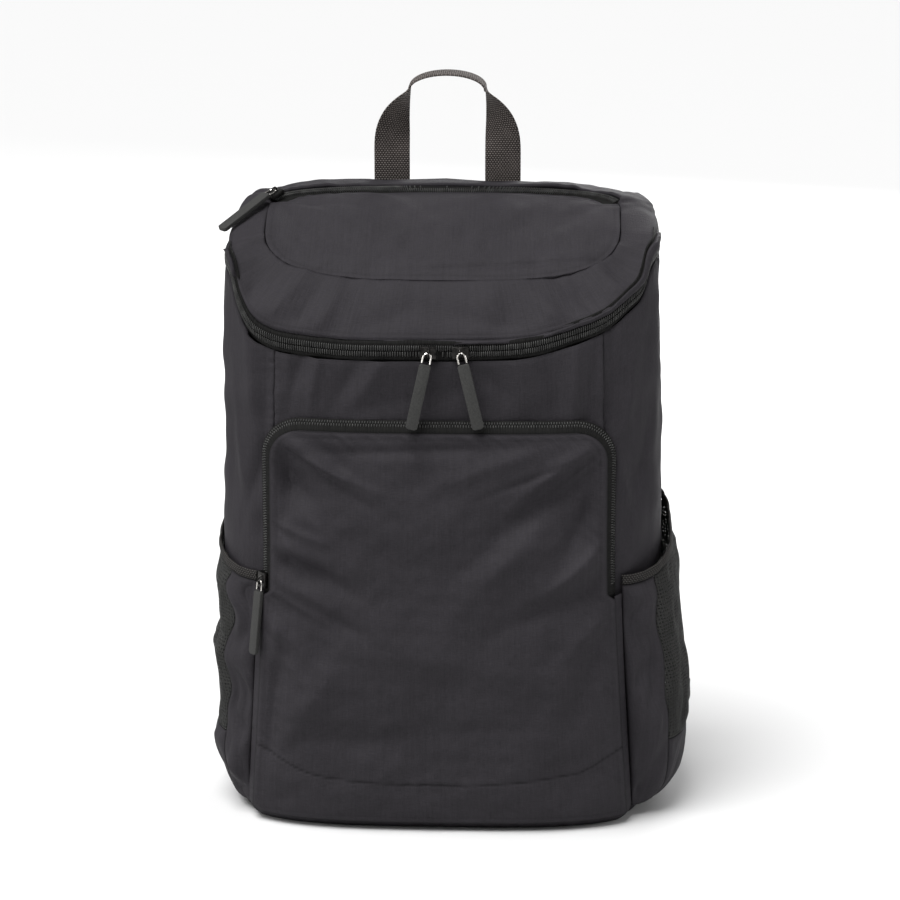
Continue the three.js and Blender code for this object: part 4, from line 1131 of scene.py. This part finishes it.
def side_pocket(side, name, bulge, wave):
    """One side pocket. share runs from its front edge (0) to its back edge (1), and up from its
    foot (0) to its top (1)."""
    back_edge = math.radians(46)

    def front_edge(height):
        return angle_at(pocket_half_at(height) + side_pocket_setback, height)

    def top(share):
        return mix(side_pocket_front, side_pocket_back, ease(0, 1, share))

    def bag(share, up):
        """How far the pocket stands off: a rounded sine across it, by the table up it."""
        round_by = np.sin(math.pi * np.clip(share, 0, 1)) ** 0.5
        full = bulge * curve(pocket_bag, np.clip(up, 0, 1))
        if side < 0:
            height = mix(side_pocket_bottom, top(share), up)
            for middle, reach, high in flat_pocket_lobes:
                full = full + high * np.exp(-(((height - middle) / reach) ** 2))
        return full * round_by

    def turned(angle):
        return angle if side > 0 else math.pi - angle

    def point(share, up, extra=0.0):
        height = mix(side_pocket_bottom, top(share), up)
        angle = turned(mix(front_edge(height), back_edge, share))
        return skin(angle, height, single_cloth + seam_gap + bag(share, up) + extra)

    def edge_start(up):
        """Where the net begins: a line that waves over the pocket's upper part."""
        slack = ease(0.3, 0.5, up) * ease(1, 0.9, up)
        return side_mesh_start + wave * np.sin(up * 21 + 0.6) * (0.7 + 0.3 * np.sin(up * 8)) * slack

    def panel(part, start, stop, low, high, columns, rows, finish, slot, seed, calm):
        """A part of the pocket between two shares across and two edges, drawn in at its seams and
        rippled between them. Its map holds the distance from the back edge and the height."""
        u = np.linspace(0, 1, columns)[None, :]
        v = np.linspace(0, 1, rows)[:, None]
        if side < 0:
            u = u[:, ::-1]
        share_flat = start + (stop - start) * u + 0 * v
        up = mix(low(share_flat), high(share_flat), v)
        share = mix(edge_start(up), 1, u) if part != "front" else mix(0, edge_start(up) - 0.002, u)
        flat = point(share, up)
        across, tall_by = lengths(flat)
        run = np.broadcast_to(across[None, :], up.shape)
        rise = np.broadcast_to(tall_by[:, None], up.shape)
        near = np.minimum(np.minimum(run, across[-1] - run), np.minimum(rise, tall_by[-1] - rise))
        steps = np.linalg.norm(np.diff(flat, axis=1, prepend=flat[:, :1]), axis=-1).cumsum(1)
        from_back = steps if side < 0 else steps - steps[:, -1:]
        plan = np.stack([from_back, flat[..., 2]], -1)
        slack = ripples(from_back, plan[..., 1], seed, 42, stretch=0.6)
        slack = slack + 0.4 * ripples(from_back, plan[..., 1], seed + 1, 16, stretch=0.5)
        out = calm * ease(0, 9, near) * slack - 0.5 * bell(near, 1.5)
        # Painted shade along the part's seams, kept as the seam attribute.
        seam = 0.8 * bell(near, 1.0)
        node = f"side_pocket_{part}_{name}"
        made = shell(node + "_cloth", point(share, up, out), side_cloth, plan=plan, seam=seam)
        sewn(made, finish, slot, node)

    def seam_up(share):
        return (side_pocket_seam - side_pocket_bottom) / (top(share) - side_pocket_bottom)

    gap = seam_gap / (side_pocket_front - side_pocket_bottom)

    def under_seam(share):
        return seam_up(share) - gap

    def foot_edge(share):
        return 0 * share

    def top_edge(share):
        return 1 - gap + 0 * share

    net_start = side_mesh_start
    panel("front", 0, net_start, foot_edge, top_edge, 40, 150, polyester, "polyester", 70 + side, 2.6)
    panel("foot", net_start, 1, foot_edge, under_seam, 90, 40, polyester, "polyester", 74 + side, 1.6)
    panel("mesh", net_start, 1, seam_up, top_edge, 90, 80, net, "net", 78 + side, 1.6)

    share = np.linspace(0, 1, 200)[None, :]
    if side < 0:
        share = share[:, ::-1]
    v = np.linspace(0, 1, 9)[:, None]
    height = top(share) + v * binding_height
    angle = turned(mix(front_edge(height), back_edge, share))
    out = single_cloth + seam_gap + bag(share, 1.0 + 0 * share) + binding_thick - single_cloth
    out = out - 0.7 * (2 * v - 1) ** 4 + 0.25 * ripples(share * 150, 0 * share, 82, 12, 8)
    node = f"side_pocket_binding_{name}"
    made = shell(node + "_cloth", skin(angle, height, out), binding_cloth_thick)
    sewn(made, binding_cloth, "webbing", node)


side_pocket(-1, "left", 4, 0.06)
side_pocket(1, "right", 20, 0.02)

# Carry loop: one length of 25 mm webbing. Its flat legs are sewn under the yoke, and each twists a
# quarter turn above the bag, so that the loop's top lies edge up.
webbing_width = 25
webbing_thick = 1.6
loop_inside = 53
loop_top = back_height + 82
loop_arch = 11
loop_twist_start = back_height + 24
loop_sewn = back_height - 42


def ribbon(name, middle, across, width, thick, sides=24, square=8):
    """Webbing along a path: a flat squared oval carried along it, capped at both ends."""
    way = unit(np.gradient(middle, axis=0))
    off = unit(np.cross(across, way))
    turn = np.linspace(0, 2 * math.pi, sides, endpoint=False)
    reach = power(np.cos(turn), 0.9) * np.asarray(width)[..., None] / 2
    lift = power(np.sin(turn), 2 / square) * np.asarray(thick)[..., None] / 2
    reach = np.broadcast_to(reach, (len(middle), sides))
    lift = np.broadcast_to(lift, (len(middle), sides))
    points = middle[:, None] + across[:, None] * reach[..., None] + off[:, None] * lift[..., None]
    run = np.concatenate([[0], np.cumsum(np.linalg.norm(np.diff(middle, axis=0), axis=-1))])
    numbers = np.arange(points.shape[0] * sides).reshape(-1, sides)
    quads = corners(wrapped(numbers)).reshape(-1, 4)
    place = np.stack([reach, np.broadcast_to(run[:, None], reach.shape)], -1).reshape(-1, 2)
    return solid(name, points.reshape(-1, 3), quads, place[quads], [numbers[0], numbers[-1][::-1]])


def carry_loop():
    leg_share = 0.4
    twist_top = loop_top - loop_arch
    t = np.linspace(0, 1, 241)
    near = np.minimum(t, 1 - t)
    side = np.where(t < 0.5, -1, 1)
    height = mix(loop_sewn, twist_top, np.clip(near / leg_share, 0, 1))
    turned = np.clip((height - loop_twist_start) / (twist_top - loop_twist_start), 0, 1)
    twist = math.pi / 2 * turned**1.5
    inward = loop_inside / 2 + webbing_width / 2 * np.cos(twist)
    bend = math.pi / 2 * np.clip((near - leg_share) / (0.5 - leg_share), 0, 1)
    over = near > leg_share
    x = np.where(over, side * loop_inside / 2 * np.cos(bend), side * inward)
    z = np.where(over, twist_top + loop_arch * np.sin(bend), height)
    y = body_depth / 2 + seam_gap + webbing_thick / 2
    middle = np.stack([x, y + 0 * x, z], -1)
    way = unit(np.gradient(middle, axis=0))
    level = unit(np.stack([way[:, 2], 0 * x, -way[:, 0]], -1))
    twist = np.where(over, math.pi / 2, twist)
    across = level * np.cos(twist)[:, None] + np.array([0, 1.0, 0]) * np.sin(twist)[:, None]
    made = ribbon("carry_loop_webbing", middle, unit(across), webbing_width, webbing_thick)
    sewn(made, webbing_cloth, "webbing", "carry_loop")


carry_loop()

# Shoulder straps: a webbing yoke across the top of the back, two padded straps below it, webbing
# from each through a ladder lock to a tab at the lower corner.
yoke_width = body_width - 2 * 53
yoke_tall = 46
yoke_top = back_height - 8
yoke_bottom = yoke_top - yoke_tall
trim_cloth = 1.2
strap_lap = 8
strap_end = 160
strap_bow = 32
strap_stand_off = 6.7
strap_width = 62
strap_end_width = 0.75 * strap_width
strap_thick = 10
strap_end_thick = 4
# How far in from the yoke's end a strap's middle line runs, at its top, middle and end
strap_line = (44, 28, 10)
tab_middle = body_width / 2 - 51
tab_half = 20
tab_taper = 0.7
tab_low = 14
tab_high = 52
tab_stitch = 33
lock_along = 34
lock_bars = 14
lock_weave = 1.5 + 0.8 + 0.9


def on_back(x, height, out=0.0):
    """The point of the skin's back at a distance from the middle and a height, moved out."""
    return skin(angle_at(x, height, behind=True), height, out)


def yoke():
    """A band of webbing cloth across the back, its long edges pressed down a little."""
    x = np.linspace(yoke_width / 2, -yoke_width / 2, 90)[None, :]
    height = np.linspace(yoke_bottom, yoke_top, 26)[:, None]
    out = 2 * seam_gap + webbing_thick + single_cloth + 0.8
    pressed = 0.4 * ease(4, 0, np.minimum(height - yoke_bottom, yoke_top - height))
    points = on_back(x, height + 0 * x, out - pressed)
    made = sewn(shell("strap_yoke_cloth", points, trim_cloth), webbing_cloth, "webbing", "strap_yoke")


def padded_strap(side, name):
    """A padded strap: its line bows away from the back by a sine and a slope, it narrows at both ends,
    and quilted lines cross it. Gives the point where the webbing leaves it."""
    t = np.linspace(0, 1, 130)
    across = yoke_width / 2 - np.interp(t, (0, 0.5, 1), strap_line)
    bow = strap_bow * (np.sin(math.pi * t) * (1 - 0.25 * t) + 0.375 * t)
    deep = body_depth / 2 + strap_stand_off + bow
    path = np.stack([side * across, deep, mix(yoke_bottom + strap_lap, strap_end, t)], -1)
    way = unit(np.gradient(path, axis=0))
    level = unit(np.array([1.0, 0, 0]) - way * way[:, :1])
    ends = ease(0, 0.08, t) * ease(0, 0.08, 1 - t)
    width = mix(strap_end_width, strap_width, ends)
    thick = mix(strap_end_thick, strap_thick, ends) * (1 - 0.12 * np.cos(t * 60) ** 8)
    made = ribbon(f"shoulder_strap_{name}_pad", path, level, width, thick, 44, 3)
    sewn(made, spacer_mesh, "pad_mesh", f"shoulder_strap_{name}")
    return path[-1] + way[-1] * 1.2


def strap_webbing(side, name, start):
    """Webbing from the strap to the tab. It weaves over and under the ladder lock's bars: a cosine
    along it, which fades out to each side of the lock."""
    stop_out = single_cloth + 2 * seam_gap + webbing_thick / 2 + 0.6
    line = on_back(side * tab_middle, tab_stitch, stop_out) - start
    length = np.linalg.norm(line)
    line = line / length
    level = unit(np.array([1.0, 0, 0]) - line * line[0])
    off = unit(np.cross(level, line))
    off = off if off[1] > 0 else -off
    run = np.linspace(0, length, 160)
    local = run - lock_along
    fade = 1 - ease(lock_bars, 2 * lock_bars, np.abs(local))
    weave = -lock_weave * np.cos(math.pi * local / lock_bars) * fade
    middle = start + line * run[:, None] + off * weave[:, None]
    across = np.broadcast_to(level, middle.shape)
    made = ribbon(f"strap_webbing_{name}_cloth", middle, across, webbing_width, webbing_thick)
    sewn(made, webbing_cloth, "webbing", f"strap_webbing_{name}")


def corner_tab(side, name):
    """A tapered tab of webbing cloth on the back's lower corner."""
    u = np.linspace(-1, 1, 40)[None, :]
    v = np.linspace(0, 1, 24)[:, None]
    x = side * tab_middle - u * tab_half * mix(1, tab_taper, v)
    height = mix(tab_low, tab_high, v) + 0 * u
    made = shell(f"strap_tab_{name}_cloth", on_back(x, height, seam_gap + single_cloth + 0 * u), trim_cloth)
    sewn(made, webbing_cloth, "webbing", f"strap_tab_{name}")


yoke()
for side, name in ((-1, "left"), (1, "right")):
    strap_webbing(side, name, padded_strap(side, name))
    corner_tab(side, name)


# Hard fittings: moulded ladder locks, dark zip sliders with a bridge, bright wire loops and plain
# dark rubber tabs. Each keeps its node's place, with its edges rounded.
def metal_finish(name, dark, bright, rough):
    """Worn metal: brighter and smoother in small patches where it is rubbed."""
    tree, finish = material(name, rough, Metallic=1.0)
    worn = patches(tree, 0.003, 3.0).span(0.3, 0.75)
    return finish(worn.blend(dark, bright), worn.span(0, 1, rough + 0.1, rough - 0.05))


def moulded_finish(name, dark, light, rough, grain):
    """Moulded plastic or rubber: a fine mottle that varies its tone, its shine and its surface."""
    tree, finish = material(name, rough, Specular_IOR_Level=0.2)
    mottle = patches(tree, grain, 3.0)
    shine = mottle.span(0.3, 0.7, rough - 0.06, rough + 0.08)
    return finish(mottle.span(0.3, 0.7).blend(dark, light), shine, mottle, 0.00012)


slider_metal = metal_finish("slider_metal", (0.010, 0.010, 0.010, 1), (0.045, 0.043, 0.041, 1), 0.4)
bright_wire = metal_finish("wire", (0.5, 0.48, 0.45, 1), (0.72, 0.7, 0.67, 1), 0.18)
rubber = moulded_finish("pull_rubber", (0.026, 0.026, 0.0252, 1), (0.040, 0.040, 0.0387, 1), 0.7, 0.0012)
plastic = moulded_finish("buckle_plastic", (0.010, 0.010, 0.010, 1), (0.018, 0.018, 0.018, 1), 0.4, 0.0015)


def rounded(node, finish, slot, width):
    """A copy of a node with its points merged and its edges rounded, in the node's place."""
    source = bpy.data.objects[node]
    made = bpy.data.objects.new(node + "_rounded", source.data.copy())
    made.data.materials.clear()
    bpy.context.collection.objects.link(made)
    gather(made)
    edge = made.modifiers.new("edge", "BEVEL")
    edge.width = width * MM
    edge.segments = 3
    edge.limit_method = "ANGLE"
    edge.angle_limit = math.radians(30)
    made.data.polygons.foreach_set("use_smooth", np.ones(len(made.data.polygons), bool))
    return sewn(made, finish, slot, node)


for name in ("left", "right"):
    rounded(f"strap_buckle_{name}", plastic, "buckle_plastic", 0.8)
for name in ("main_left", "main_right", "front", "lid"):
    rounded(f"slider_{name}", slider_metal, "slider_metal", 0.5)
    rounded(f"pull_wire_{name}", bright_wire, "wire", 0.1)
    rounded(f"pull_tab_{name}", rubber, "pull_rubber", 0.5)
